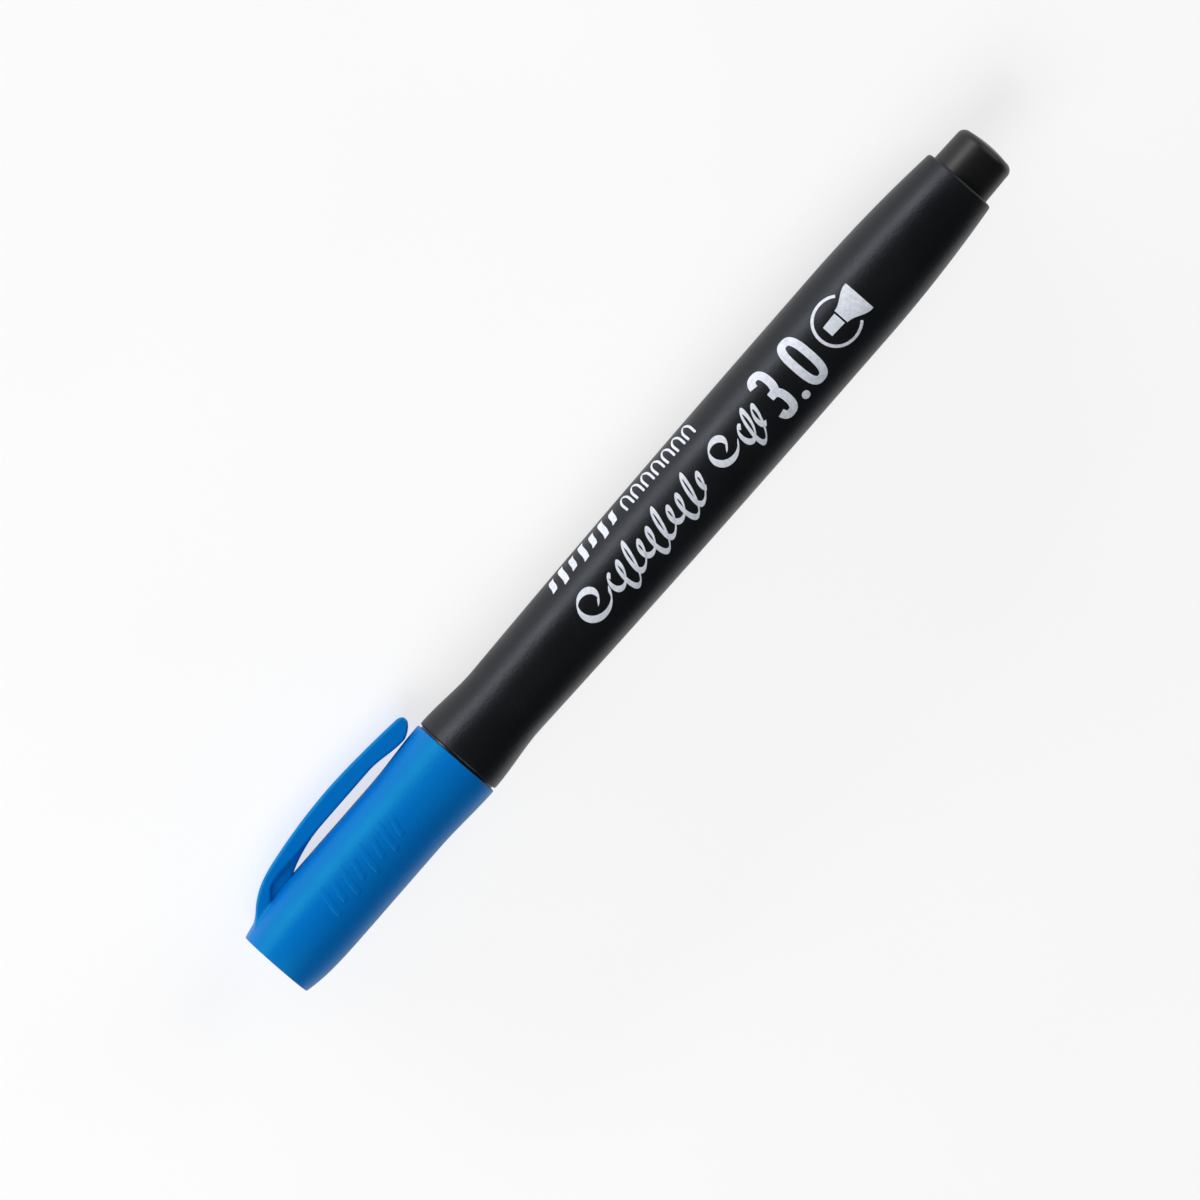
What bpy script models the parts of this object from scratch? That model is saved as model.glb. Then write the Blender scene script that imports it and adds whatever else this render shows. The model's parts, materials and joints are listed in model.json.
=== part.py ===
"""Broad-nib calligraphy marker with its cap on, lying on a flat surface.

Lengths are in metres. Every piece is drawn in the pen's own frame: x runs along the pen's axis from the
cap's flat end towards the tail, y points to the clip and z to the side that carries the print. The empty
named pen_axis then rolls the whole pen about x, until its clip rests on the surface that the pen lies on.
"""

import math

import bmesh
import bpy
from mathutils import Vector

# How finely the curves are drawn.
SEGMENTS = 40
CURVE_STEPS = 8
CORNER_STEPS = 3
WELD_DISTANCE = 1e-7

# Clearances between neighbours.
FIT_GAP = 0.0003
SEAM_GAP = 0.0003
TOE_GAP = 0.0003

# Cap shell.
CAP_LENGTH = 0.0353
CAP_RADIUS = 0.00606
CAP_END_RADIUS = 0.00515
CAP_MOUTH_RADIUS = 0.00647
CAP_END_TAPER = 0.0114
CAP_END_FULLNESS = 3.5
CAP_FLARE_LENGTH = 0.0100
CAP_EDGE = 0.00015
CAP_MOUTH_EDGE = 0.00025
CAP_WALL = 0.00096
CAP_END_WALL = 0.0015
CAP_BORE_TAPER = 0.0030
CAP_BORE_NARROWING = 0.00065
CAP_SKIRT_DEPTH = 0.0068

# Clip and its root on the cap.
CLIP_START = 0.0026
CLIP_END_MARGIN = 0.0004
CLIP_ROOT_LENGTH = 0.0083
CLIP_ROOT_GAP = 0.0005
CLIP_ROOT_FULLNESS = 2.2
CLIP_CROWN_AT = 0.0217
CLIP_CROWN_GAP = 0.00129
CLIP_TIP_RISE = 0.0029
CLIP_TIP_CORNER = 0.0009
CLIP_THICKNESS = 0.0025
CLIP_TOE_LENGTH = 0.0060
CLIP_TOE_SLOPE = 0.0022
CLIP_ROOT_WIDTH = 0.0046
CLIP_TIP_WIDTH = 0.0038
CLIP_EDGE = 0.00035
CLIP_ROOT_SINK = 0.0005

# Barrel.
BARREL_LENGTH = 0.0985
BARREL_FRONT_RADIUS = 0.00637
BARREL_LAND = 0.0006
BARREL_WAIST_AT = 0.0092
BARREL_WAIST_RADIUS = 0.00579
BARREL_BELLY_AT = 0.0644
BARREL_BELLY_RADIUS = 0.00638
BARREL_TAIL_TAPER = 0.0216
BARREL_REAR_RADIUS = 0.00522
BARREL_FRONT_EDGE = 0.00025
BARREL_REAR_EDGE = 0.0004
BARREL_WALL = 0.00111

# Tail plug.
PLUG_STUB_LENGTH = 0.0059
PLUG_INSERT_LENGTH = 0.0070
PLUG_DRAFT = 0.0001
PLUG_CORNER = 0.0012
PLUG_DOME = 0.0003
PLUG_WALL = 0.0010
PLUG_END_WALL = 0.0020

# Nib and the holder that carries it.
NIB_WIDTH = 0.0030
NIB_THICKNESS = 0.0019
NIB_EDGE_THICKNESS = 0.0005
NIB_CHISEL_LENGTH = 0.0026
NIB_SLANT = math.radians(12.0)
NIB_EXPOSED = 0.0055
NIB_TAIL = 0.0080
NIB_EDGE = 0.00015
HOLDER_NOSE_INSET = 0.0178
HOLDER_NOSE_LENGTH = 0.0038
HOLDER_NOSE_RADIUS = 0.0029
HOLDER_LAND_LENGTH = 0.0036
HOLDER_LAND_RADIUS = 0.00345
HOLDER_NECK_LENGTH = 0.0062
HOLDER_BEAD_HEIGHT = 0.0001
HOLDER_BEAD_LENGTH = 0.0010
HOLDER_INSERT_LENGTH = 0.0120
HOLDER_CHAMFER = 0.0004

# Cap liner, the inner cap that seals over the nib.
LINER_WALL = 0.00065
LINER_FLOOR_INSET = 0.0030
LINER_FLOOR = 0.0008
LINER_RING_LENGTH = 0.0022
LINER_RING_HEIGHT = 0.00025

# Ink reservoir.
SLEEVE_WALL = 0.00025
CORE_POCKET_EXTRA = 0.0003

# Sizes that follow from the ones above.
BARREL_FRONT = CAP_LENGTH + SEAM_GAP
BARREL_REAR = BARREL_FRONT + BARREL_LENGTH
BORE_RADIUS = BARREL_WAIST_RADIUS - BARREL_WALL
INSERT_RADIUS = BORE_RADIUS - FIT_GAP
CAP_BORE_RADIUS = CAP_RADIUS - CAP_WALL
CAP_MOUTH_BORE = CAP_MOUTH_RADIUS - CAP_WALL
NECK_RADIUS = CAP_MOUTH_BORE - FIT_GAP
NECK_REAR = BARREL_FRONT - SEAM_GAP
NOSE_FRONT = BARREL_FRONT - HOLDER_NOSE_INSET
LAND_FRONT = NOSE_FRONT + HOLDER_NOSE_LENGTH
LAND_REAR = LAND_FRONT + HOLDER_LAND_LENGTH
HOLDER_REAR = BARREL_FRONT + HOLDER_INSERT_LENGTH
NIB_TIP = NOSE_FRONT - NIB_EXPOSED
RESERVOIR_FRONT = HOLDER_REAR + FIT_GAP
RESERVOIR_REAR = BARREL_REAR - PLUG_INSERT_LENGTH - FIT_GAP
NIB_REAR = RESERVOIR_FRONT + NIB_TAIL
SLEEVE_RADIUS = BORE_RADIUS - FIT_GAP
CORE_RADIUS = SLEEVE_RADIUS - SLEEVE_WALL - FIT_GAP
POCKET_RADIUS = math.hypot(NIB_WIDTH, NIB_THICKNESS) / 2 + CORE_POCKET_EXTRA
LINER_FRONT = CAP_END_WALL + FIT_GAP
LINER_REAR = LAND_REAR - FIT_GAP
LINER_BORE = HOLDER_LAND_RADIUS + FIT_GAP
LINER_RADIUS = LINER_BORE + LINER_WALL
CLIP_SPLIT = CLIP_START + CLIP_ROOT_LENGTH
CLIP_END = CAP_LENGTH - CLIP_END_MARGIN
CLIP_ROOT_HEIGHT = CAP_RADIUS + CLIP_ROOT_GAP + CLIP_THICKNESS
CLIP_CROWN_HEIGHT = CAP_RADIUS + CLIP_CROWN_GAP + CLIP_THICKNESS
CLIP_TIP_HEIGHT = CAP_RADIUS + CLIP_TIP_RISE
CLIP_FLEX_POINT = Vector((CLIP_SPLIT + FIT_GAP / 2, CLIP_ROOT_HEIGHT - CLIP_THICKNESS / 2, 0.0))

FINISHES = {
    "cap_blue": ((0.010, 0.110, 0.420, 1.0), 0.38),
    "barrel_black": ((0.012, 0.012, 0.014, 1.0), 0.52),
    "plug_black": ((0.012, 0.012, 0.014, 1.0), 0.46),
    "holder_black": ((0.016, 0.016, 0.018, 1.0), 0.45),
    "liner_natural": ((0.720, 0.720, 0.690, 1.0), 0.40),
    "nib_fibre": ((0.050, 0.060, 0.120, 1.0), 0.85),
    "ink_fibre": ((0.030, 0.045, 0.160, 1.0), 0.95),
    "sleeve_film": ((0.800, 0.810, 0.800, 1.0), 0.25),
}


def finish(name):
    """The plastic or fibre of this name, made once."""
    material = bpy.data.materials.get(name)
    if material is None:
        colour, roughness = FINISHES[name]
        material = bpy.data.materials.new(name)
        material.use_nodes = True
        shader = material.node_tree.nodes["Principled BSDF"]
        shader.inputs["Base Color"].default_value = colour
        shader.inputs["Roughness"].default_value = roughness
        shader.inputs["Metallic"].default_value = 0.0
    return material


def straight(start, end, count):
    """count + 1 evenly spaced values from start to end."""
    return [start + (end - start) * i / count for i in range(count + 1)]


def eased(start, end):
    """A smooth step between two (x, height) points, level at both ends."""
    points = []
    for t in straight(0.0, 1.0, CURVE_STEPS):
        rise = t * t * (3.0 - 2.0 * t)
        points.append((start[0] + (end[0] - start[0]) * t, start[1] + (end[1] - start[1]) * rise))
    return points


def arched(crown, foot, fullness=2.0):
    """From the level crown of a curve down to its foot, falling as distance to the power fullness."""
    points = []
    for t in straight(0.0, 1.0, CURVE_STEPS):
        fall = t**fullness
        points.append((crown[0] + (foot[0] - crown[0]) * t, crown[1] + (foot[1] - crown[1]) * fall))
    return points


def rounded(centre, radius, start_degrees, end_degrees):
    """A corner's arc about its centre; 0 degrees points along +x and 90 outwards."""
    points = []
    for degrees in straight(start_degrees, end_degrees, CORNER_STEPS):
        angle = math.radians(degrees)
        points.append((centre[0] + radius * math.cos(angle), centre[1] + radius * math.sin(angle)))
    return points


def without_repeats(points):
    """The outline with each point that lies on the one before it left out."""
    kept = [points[0]]
    for point in points[1:]:
        if math.dist(point, kept[-1]) > WELD_DISTANCE:
            kept.append(point)
    return kept


def make_object(name, mesh_builder, finish_name, parent, origin=(0.0, 0.0, 0.0)):
    """A new object from a bmesh whose points are in the pen's frame, with its origin where it is held."""
    for vertex in mesh_builder.verts:
        vertex.co -= Vector(origin)
    bmesh.ops.recalc_face_normals(mesh_builder, faces=mesh_builder.faces)
    mesh = bpy.data.meshes.new(name)
    mesh_builder.to_mesh(mesh)
    mesh_builder.free()
    mesh.materials.append(finish(finish_name))
    mesh.shade_smooth()
    mesh.set_sharp_from_angle(angle=math.radians(30.0))
    made = bpy.data.objects.new(name, mesh)
    made.location = origin
    made.parent = parent
    bpy.context.scene.collection.objects.link(made)
    return made


def turned(name, outline, finish_name, parent):
    """A solid turned about the pen's axis from (x, radius) points.

    An outline that starts and ends on the axis is a solid; any other is closed into a ring.
    """
    outline = without_repeats(outline)
    builder = bmesh.new()
    points = [builder.verts.new((x, radius, 0.0)) for x, radius in outline]
    edges = [builder.edges.new(pair) for pair in zip(points, points[1:])]
    if outline[0][1] > 0.0:
        edges.append(builder.edges.new((points[-1], points[0])))
    bmesh.ops.spin(
        builder,
        geom=points + edges,
        axis=(1.0, 0.0, 0.0),
        cent=(0.0, 0.0, 0.0),
        angle=2.0 * math.pi,
        steps=SEGMENTS,
        use_merge=True,
    )
    bmesh.ops.remove_doubles(builder, verts=builder.verts, dist=WELD_DISTANCE)
    return make_object(name, builder, finish_name, parent)


def plate(name, outline, half_width, finish_name, parent, origin=(0.0, 0.0, 0.0)):
    """A plate with an (x, y) outline; half_width gives half its width across z at each x."""
    builder = bmesh.new()
    near = [builder.verts.new((x, y, -half_width(x))) for x, y in without_repeats(outline)]
    face = builder.faces.new(near)
    grown = bmesh.ops.extrude_face_region(builder, geom=[face], use_keep_orig=True)
    for item in grown["geom"]:
        if isinstance(item, bmesh.types.BMVert):
            item.co.z = half_width(item.co.x)
    return make_object(name, builder, finish_name, parent, origin)


def bevelled(made, width, segments=2):
    """Rounds the piece's sharp edges."""
    bevel = made.modifiers.new("rounded_edges", "BEVEL")
    bevel.width = width
    bevel.segments = segments
    bevel.limit_method = "ANGLE"
    bevel.angle_limit = math.radians(40.0)
    return made


def combined(made, other, operation):
    """Adds another piece to this one, or cuts it away, and keeps the other only as a hidden helper."""
    modifier = made.modifiers.new(other.name, "BOOLEAN")
    modifier.operation = operation
    modifier.object = other
    modifier.solver = "EXACT"
    other.hide_render = True
    other.display_type = "WIRE"


def empty(name, parent=None):
    """An empty that carries a moving group."""
    made = bpy.data.objects.new(name, None)
    made.empty_display_size = 0.01
    made.parent = parent
    bpy.context.scene.collection.objects.link(made)
    return made


def clip_half_width(x):
    """Half the clip's width, which narrows evenly from its root to its tip."""
    share = (x - CLIP_START) / (CLIP_END - CLIP_START)
    return (CLIP_ROOT_WIDTH + (CLIP_TIP_WIDTH - CLIP_ROOT_WIDTH) * share) / 2


def resting_roll():
    """How far the pen rolls for the clip's crown to rest level with the cap's mouth, its widest ring."""
    height = CLIP_CROWN_HEIGHT - CLIP_EDGE
    side = clip_half_width(CLIP_CROWN_AT) - CLIP_EDGE
    reach = math.hypot(height, side)
    return math.asin((CAP_MOUTH_RADIUS - CLIP_EDGE) / reach) - math.atan2(side, height)


def cap_radius_at(x):
    """The cap's outer radius where its flare begins to widen the mouth."""
    share = max(0.0, (x - (CAP_LENGTH - CAP_FLARE_LENGTH)) / CAP_FLARE_LENGTH)
    return CAP_RADIUS + (CAP_MOUTH_RADIUS - CAP_RADIUS) * share * share * (3.0 - 2.0 * share)


def make_cap_shell(parent):
    """The cap: a cup with a tapered closed end and a flared mouth, and the root that its clip grows from."""
    taper = arched((CAP_END_TAPER, CAP_RADIUS), (CAP_EDGE, CAP_END_RADIUS + CAP_EDGE), CAP_END_FULLNESS)
    mouth_centre = (CAP_LENGTH - CAP_MOUTH_EDGE, CAP_MOUTH_RADIUS - CAP_MOUTH_EDGE)
    skirt_front = CAP_LENGTH - CAP_SKIRT_DEPTH
    outline = [(0.0, 0.0), (0.0, CAP_END_RADIUS)]
    outline += reversed(taper)
    outline += eased((CAP_LENGTH - CAP_FLARE_LENGTH, CAP_RADIUS), (mouth_centre[0], CAP_MOUTH_RADIUS))
    outline += rounded(mouth_centre, CAP_MOUTH_EDGE, 90.0, 0.0)
    outline += [
        (CAP_LENGTH, CAP_MOUTH_BORE),
        (skirt_front, CAP_MOUTH_BORE),
        (skirt_front - (CAP_MOUTH_BORE - CAP_BORE_RADIUS) * 2, CAP_BORE_RADIUS),
        (CAP_END_WALL + CAP_BORE_TAPER, CAP_BORE_RADIUS),
        (CAP_END_WALL, CAP_BORE_RADIUS - CAP_BORE_NARROWING),
        (CAP_END_WALL, 0.0),
    ]
    shell = turned("cap_shell", outline, "cap_blue", parent)
    foot = CAP_BORE_RADIUS + CLIP_ROOT_SINK / 2
    start = CLIP_START - CLIP_ROOT_SINK
    root_outline = [(start, foot)]
    root_outline += reversed(
        arched((CLIP_SPLIT, CLIP_ROOT_HEIGHT), (CLIP_START, CAP_RADIUS - CLIP_ROOT_SINK), CLIP_ROOT_FULLNESS)
    )
    root_outline += [(CLIP_SPLIT, foot)]
    root = plate("clip_root", root_outline, clip_half_width, "cap_blue", parent)
    combined(shell, bevelled(root, CLIP_EDGE), "UNION")
    return shell


def make_clip(parent):
    """The clip's free arm: a crowned bar with a toe that bears on the cap near its mouth."""
    start = CLIP_SPLIT + FIT_GAP
    toe_at = CLIP_END - CLIP_TOE_SLOPE
    toe_height = cap_radius_at(toe_at) + TOE_GAP
    underside = CLIP_CROWN_HEIGHT - CLIP_THICKNESS
    tip_centre = (CLIP_END - CLIP_TIP_CORNER, CLIP_TIP_HEIGHT - CLIP_TIP_CORNER)
    crown = (CLIP_CROWN_AT, CLIP_CROWN_HEIGHT)
    outline = list(reversed(arched(crown, (start, CLIP_ROOT_HEIGHT))))
    outline += arched(crown, (tip_centre[0], CLIP_TIP_HEIGHT))
    outline += rounded(tip_centre, CLIP_TIP_CORNER, 90.0, 0.0)
    outline += arched((toe_at, toe_height), (CLIP_END, tip_centre[1]))[::-1]
    outline += eased((toe_at, toe_height), (toe_at - CLIP_TOE_LENGTH, underside))
    outline += arched((CLIP_CROWN_AT, underside), (start, CLIP_ROOT_HEIGHT - CLIP_THICKNESS))
    clip = plate("clip", outline, clip_half_width, "cap_blue", parent, CLIP_FLEX_POINT)
    return bevelled(clip, CLIP_EDGE)


def make_cap_liner(parent):
    """The inner cap: a cup whose mouth seals round the holder's land, with a ring that grips the shell."""
    floor = CAP_END_WALL + LINER_FLOOR_INSET
    ring_rear = floor + LINER_RING_LENGTH
    ring_radius = LINER_RADIUS + LINER_RING_HEIGHT
    skirt_radius = CAP_BORE_RADIUS - CAP_BORE_NARROWING - FIT_GAP
    outline = [
        (floor, 0.0),
        (floor, skirt_radius - LINER_WALL),
        (LINER_FRONT, skirt_radius - LINER_WALL),
        (LINER_FRONT, skirt_radius),
        (floor, ring_radius),
        (ring_rear, ring_radius),
        (ring_rear + LINER_RING_HEIGHT, LINER_RADIUS),
        (LINER_REAR, LINER_RADIUS),
        (LINER_REAR, LINER_BORE),
        (floor + LINER_FLOOR, LINER_BORE),
        (floor + LINER_FLOOR, 0.0),
    ]
    return turned("cap_liner", outline, "liner_natural", parent)


def make_barrel(parent):
    """The tube that is held to write: waisted behind the cap, fullest near the tail, bored right through."""
    land = BARREL_FRONT + BARREL_LAND
    belly = (BARREL_FRONT + BARREL_BELLY_AT, BARREL_BELLY_RADIUS)
    waist = (BARREL_FRONT + BARREL_WAIST_AT, BARREL_WAIST_RADIUS)
    front_centre = (BARREL_FRONT + BARREL_FRONT_EDGE, BARREL_FRONT_RADIUS - BARREL_FRONT_EDGE)
    rear_centre = (BARREL_REAR - BARREL_REAR_EDGE, BARREL_REAR_RADIUS - BARREL_REAR_EDGE)
    taper_start = (BARREL_REAR - BARREL_TAIL_TAPER, BARREL_BELLY_RADIUS)
    outline = [(BARREL_FRONT, BORE_RADIUS)]
    outline += rounded(front_centre, BARREL_FRONT_EDGE, 180.0, 90.0)
    outline += eased((land, BARREL_FRONT_RADIUS), waist)
    outline += reversed(arched(belly, waist))
    outline += arched(taper_start, (rear_centre[0], BARREL_REAR_RADIUS))
    outline += rounded(rear_centre, BARREL_REAR_EDGE, 90.0, 0.0)
    outline += [(BARREL_REAR, BORE_RADIUS)]
    return turned("barrel", outline, "barrel_black", parent)


def make_tail_plug(parent):
    """The plug pressed into the barrel's rear: a hollow insert, and the stub that stands out of the barrel."""
    front = BARREL_REAR - PLUG_INSERT_LENGTH
    end = BARREL_REAR + PLUG_STUB_LENGTH
    stub_radius = INSERT_RADIUS - PLUG_DRAFT
    hollow_radius = INSERT_RADIUS - PLUG_WALL
    corner_centre = (end - PLUG_DOME - PLUG_CORNER, stub_radius - PLUG_CORNER)
    dome = arched((end, 0.0), (end - PLUG_DOME, corner_centre[1]))
    outline = [
        (BARREL_REAR - PLUG_END_WALL, 0.0),
        (BARREL_REAR - PLUG_END_WALL, hollow_radius),
        (front, hollow_radius),
        (front, INSERT_RADIUS - HOLDER_CHAMFER),
        (front + HOLDER_CHAMFER, INSERT_RADIUS),
        (BARREL_REAR, INSERT_RADIUS),
    ]
    outline += rounded(corner_centre, PLUG_CORNER, 90.0, 0.0)
    for share in straight(1.0, 0.0, 4)[1:]:
        outline.append((end - PLUG_DOME * share * share, dome[-1][1] * share))
    return turned("tail_plug", outline, "plug_black", parent)


def make_nib_holder(parent):
    """The front section: a nose round the nib, a land that the liner seals on, and a neck that takes the cap."""
    slant = HOLDER_LAND_RADIUS - HOLDER_NOSE_RADIUS
    neck_front = NECK_REAR - HOLDER_NECK_LENGTH
    bead_at = (neck_front + NECK_REAR) / 2
    bead_ends = (bead_at - HOLDER_BEAD_LENGTH / 2, bead_at + HOLDER_BEAD_LENGTH / 2)
    outline = [
        (NOSE_FRONT, 0.0),
        (NOSE_FRONT, HOLDER_NOSE_RADIUS - HOLDER_CHAMFER),
        (NOSE_FRONT + HOLDER_CHAMFER, HOLDER_NOSE_RADIUS),
        (LAND_FRONT - slant, HOLDER_NOSE_RADIUS),
        (LAND_FRONT, HOLDER_LAND_RADIUS),
        (LAND_REAR, HOLDER_LAND_RADIUS),
        (neck_front, NECK_RADIUS),
        (bead_ends[0], NECK_RADIUS),
        (bead_at, NECK_RADIUS + HOLDER_BEAD_HEIGHT),
        (bead_ends[1], NECK_RADIUS),
        (NECK_REAR, NECK_RADIUS),
        (NECK_REAR, INSERT_RADIUS),
        (HOLDER_REAR - HOLDER_CHAMFER, INSERT_RADIUS),
        (HOLDER_REAR, INSERT_RADIUS - HOLDER_CHAMFER),
        (HOLDER_REAR, 0.0),
    ]
    holder = turned("nib_holder", outline, "holder_black", parent)
    half = NIB_WIDTH / 2 + FIT_GAP
    slot_outline = [
        (NOSE_FRONT - FIT_GAP, -half),
        (HOLDER_REAR + FIT_GAP, -half),
        (HOLDER_REAR + FIT_GAP, half),
        (NOSE_FRONT - FIT_GAP, half),
    ]
    slot = plate("nib_slot", slot_outline, lambda x: NIB_THICKNESS / 2 + FIT_GAP, "holder_black", parent)
    combined(holder, slot, "DIFFERENCE")
    return holder


def make_nib(parent):
    """The writing fibre: a flat bar ground to a slanted chisel edge, whose tail drinks from the reservoir."""

    def half_thickness(x):
        share = min(1.0, max(0.0, (x - NIB_TIP) / NIB_CHISEL_LENGTH))
        return (NIB_EDGE_THICKNESS + (NIB_THICKNESS - NIB_EDGE_THICKNESS) * share) / 2

    half = NIB_WIDTH / 2
    outline = [
        (NIB_TIP, -half),
        (NIB_TIP + NIB_CHISEL_LENGTH, -half),
        (NIB_REAR, -half),
        (NIB_REAR, half),
        (NIB_TIP + NIB_CHISEL_LENGTH, half),
        (NIB_TIP, half),
    ]
    builder = bmesh.new()
    rows = []
    for side in (-1.0, 1.0):
        rows.append([builder.verts.new((x, y, side * half_thickness(x))) for x, y in outline])
    for row in rows:
        builder.faces.new((row[0], row[1], row[4], row[5]))
        builder.faces.new((row[1], row[2], row[3], row[4]))
    for i in range(len(outline)):
        after = (i + 1) % len(outline)
        builder.faces.new((rows[0][i], rows[0][after], rows[1][after], rows[1][i]))
    for row in rows:
        for vertex in (row[0], row[5]):
            vertex.co.x += (half + vertex.co.y) * math.tan(NIB_SLANT)
    return bevelled(make_object("nib", builder, "nib_fibre", parent), NIB_EDGE)


def make_reservoir(parent):
    """The ink store: a fibre core with a pocket for the nib's tail, wrapped in a thin film sleeve."""
    turned(
        "reservoir_core",
        [
            (NIB_REAR + FIT_GAP, 0.0),
            (NIB_REAR + FIT_GAP, POCKET_RADIUS),
            (RESERVOIR_FRONT, POCKET_RADIUS),
            (RESERVOIR_FRONT, CORE_RADIUS),
            (RESERVOIR_REAR, CORE_RADIUS),
            (RESERVOIR_REAR, 0.0),
        ],
        "ink_fibre",
        parent,
    )
    turned(
        "reservoir_sleeve",
        [
            (RESERVOIR_FRONT, SLEEVE_RADIUS - SLEEVE_WALL),
            (RESERVOIR_FRONT, SLEEVE_RADIUS),
            (RESERVOIR_REAR, SLEEVE_RADIUS),
            (RESERVOIR_REAR, SLEEVE_RADIUS - SLEEVE_WALL),
        ],
        "sleeve_film",
        parent,
    )


def main():
    """Clears the scene and builds the marker."""
    for old in list(bpy.data.objects):
        bpy.data.objects.remove(old, do_unlink=True)
    pen_axis = empty("pen_axis")
    pen_axis.rotation_euler = (-resting_roll(), 0.0, 0.0)
    cap_slide = empty("cap_slide", pen_axis)
    make_barrel(pen_axis)
    make_tail_plug(pen_axis)
    make_nib_holder(pen_axis)
    make_nib(pen_axis)
    make_reservoir(pen_axis)
    make_cap_shell(cap_slide)
    make_cap_liner(cap_slide)
    make_clip(cap_slide)


if __name__ == "__main__":
    main()
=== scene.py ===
"""Looks of the broad-nib calligraphy marker: its moulded surfaces, its print, its finishes and a plain studio.

Each sub-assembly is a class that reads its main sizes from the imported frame, works out its surfaces as
numpy arrays and dresses them. Lengths are in metres. Shapes are drawn in the pen's own frame: x runs from
the cap's flat end to the tail, y points to the clip and z to the printed side.
"""

from __future__ import annotations

import json
import logging
import math
from dataclasses import dataclass
from enum import Enum
from typing import Any, Callable, Sequence

import bpy
import numpy as np
from mathutils import Matrix, Vector

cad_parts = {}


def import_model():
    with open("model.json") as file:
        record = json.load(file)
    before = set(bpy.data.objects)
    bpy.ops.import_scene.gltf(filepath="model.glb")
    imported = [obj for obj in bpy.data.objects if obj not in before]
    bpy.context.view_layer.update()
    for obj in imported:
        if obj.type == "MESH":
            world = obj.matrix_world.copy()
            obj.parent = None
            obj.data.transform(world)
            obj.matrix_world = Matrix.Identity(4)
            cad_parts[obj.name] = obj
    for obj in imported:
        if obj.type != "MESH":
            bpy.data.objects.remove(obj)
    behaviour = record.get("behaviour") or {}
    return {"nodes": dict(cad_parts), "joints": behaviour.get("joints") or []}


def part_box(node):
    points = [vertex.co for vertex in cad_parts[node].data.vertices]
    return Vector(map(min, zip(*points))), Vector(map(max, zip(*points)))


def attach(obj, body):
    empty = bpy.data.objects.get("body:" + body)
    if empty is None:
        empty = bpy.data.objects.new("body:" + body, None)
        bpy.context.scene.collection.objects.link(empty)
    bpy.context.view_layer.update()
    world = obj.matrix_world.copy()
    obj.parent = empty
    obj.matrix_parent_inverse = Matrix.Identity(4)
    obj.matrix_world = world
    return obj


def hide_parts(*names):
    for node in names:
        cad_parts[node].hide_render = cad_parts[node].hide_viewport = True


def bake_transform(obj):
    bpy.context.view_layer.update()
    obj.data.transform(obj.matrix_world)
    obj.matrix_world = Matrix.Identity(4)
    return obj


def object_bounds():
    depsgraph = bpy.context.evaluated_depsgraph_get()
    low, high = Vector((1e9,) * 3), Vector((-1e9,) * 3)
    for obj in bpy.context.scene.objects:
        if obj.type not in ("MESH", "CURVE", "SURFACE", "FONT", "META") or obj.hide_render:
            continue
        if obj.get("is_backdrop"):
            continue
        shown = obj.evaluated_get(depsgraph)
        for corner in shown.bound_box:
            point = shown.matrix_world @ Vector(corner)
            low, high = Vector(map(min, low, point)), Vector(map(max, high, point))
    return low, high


LOG = logging.getLogger("calligraphy_marker")
MM = 0.001
SAME_POINT = 1e-8
FULL_TURN = 2.0 * math.pi
Array = np.ndarray


# Shapes worked out with numpy ---------------------------------------------------------------------------


class Closure(Enum):
    """How a grid's rows end.

    The last row of a RING meets the first. Each end row of POLES shrinks to its middle point. Only the
    first row of a DISH does, and its last stays open.
    """

    RING = 0
    DISH = 1
    POLES = 2

    @property
    def poles(self) -> int:
        """How many of the end rows shrink to a point."""
        return self.value


@dataclass(frozen=True)
class PenFrame:
    """The pen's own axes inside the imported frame.

    The pen lies rolled about its length, so its y and z are turned from the frame's.
    """

    to_clip: tuple[float, float, float]
    to_print: tuple[float, float, float]

    @classmethod
    def from_joints(cls, joints: Sequence[dict[str, Any]]) -> PenFrame:
        """Reads the roll from the clip's hinge, whose axis points to the printed side.

        Args:
            joints: The frame's joints.

        Returns:
            The pen's axes.
        """
        hinge = next(joint for joint in joints if joint["name"] == "clip_flex")
        axis = Vector(hinge["axis"]).normalized()
        return cls(tuple(axis.cross(Vector((1.0, 0.0, 0.0)))), tuple(axis))

    def place(self, points: Array) -> Array:
        """Turns points from the pen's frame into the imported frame.

        Args:
            points: An array whose last axis holds x, y and z in the pen's frame.

        Returns:
            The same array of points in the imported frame.
        """
        basis = np.array([(1.0, 0.0, 0.0), self.to_clip, self.to_print])
        return points @ basis

    def vector(self, x: float, y: float, z: float) -> Vector:
        """One point or direction of the pen's frame, as a Blender vector."""
        return Vector(self.place(np.array([x, y, z])).tolist())


def smooth(t: Array | float) -> Array:
    """The smooth step 3t^2 - 2t^3, with t held between 0 and 1."""
    t = np.clip(t, 0.0, 1.0)
    return t * t * (3.0 - 2.0 * t)


def signed_power(wave: Array, power: float) -> Array:
    """A wave's size raised to a power, with its sign kept: it turns a circle into a superellipse."""
    return np.sign(wave) * np.abs(wave) ** power


def straight(start: Sequence[float], end: Sequence[float], count: int = 2) -> Array:
    """Points along a straight stretch of an outline, both ends included."""
    return np.linspace(start, end, count)


def corner(centre: Sequence[float], radius: float, start: float, stop: float, count: int = 8) -> Array:
    """A rounded corner of an outline: centre + radius * (cos a, sin a) between two angles in degrees."""
    angle = np.radians(np.linspace(start, stop, count))
    return np.column_stack([centre[0] + radius * np.cos(angle), centre[1] + radius * np.sin(angle)])


def eased(start: Sequence[float], end: Sequence[float], count: int = 24) -> Array:
    """A stretch of outline that rises or falls by the smooth step, level at both ends."""
    t = np.linspace(0.0, 1.0, count)
    return np.column_stack([start[0] + (end[0] - start[0]) * t, start[1] + (end[1] - start[1]) * smooth(t)])


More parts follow.
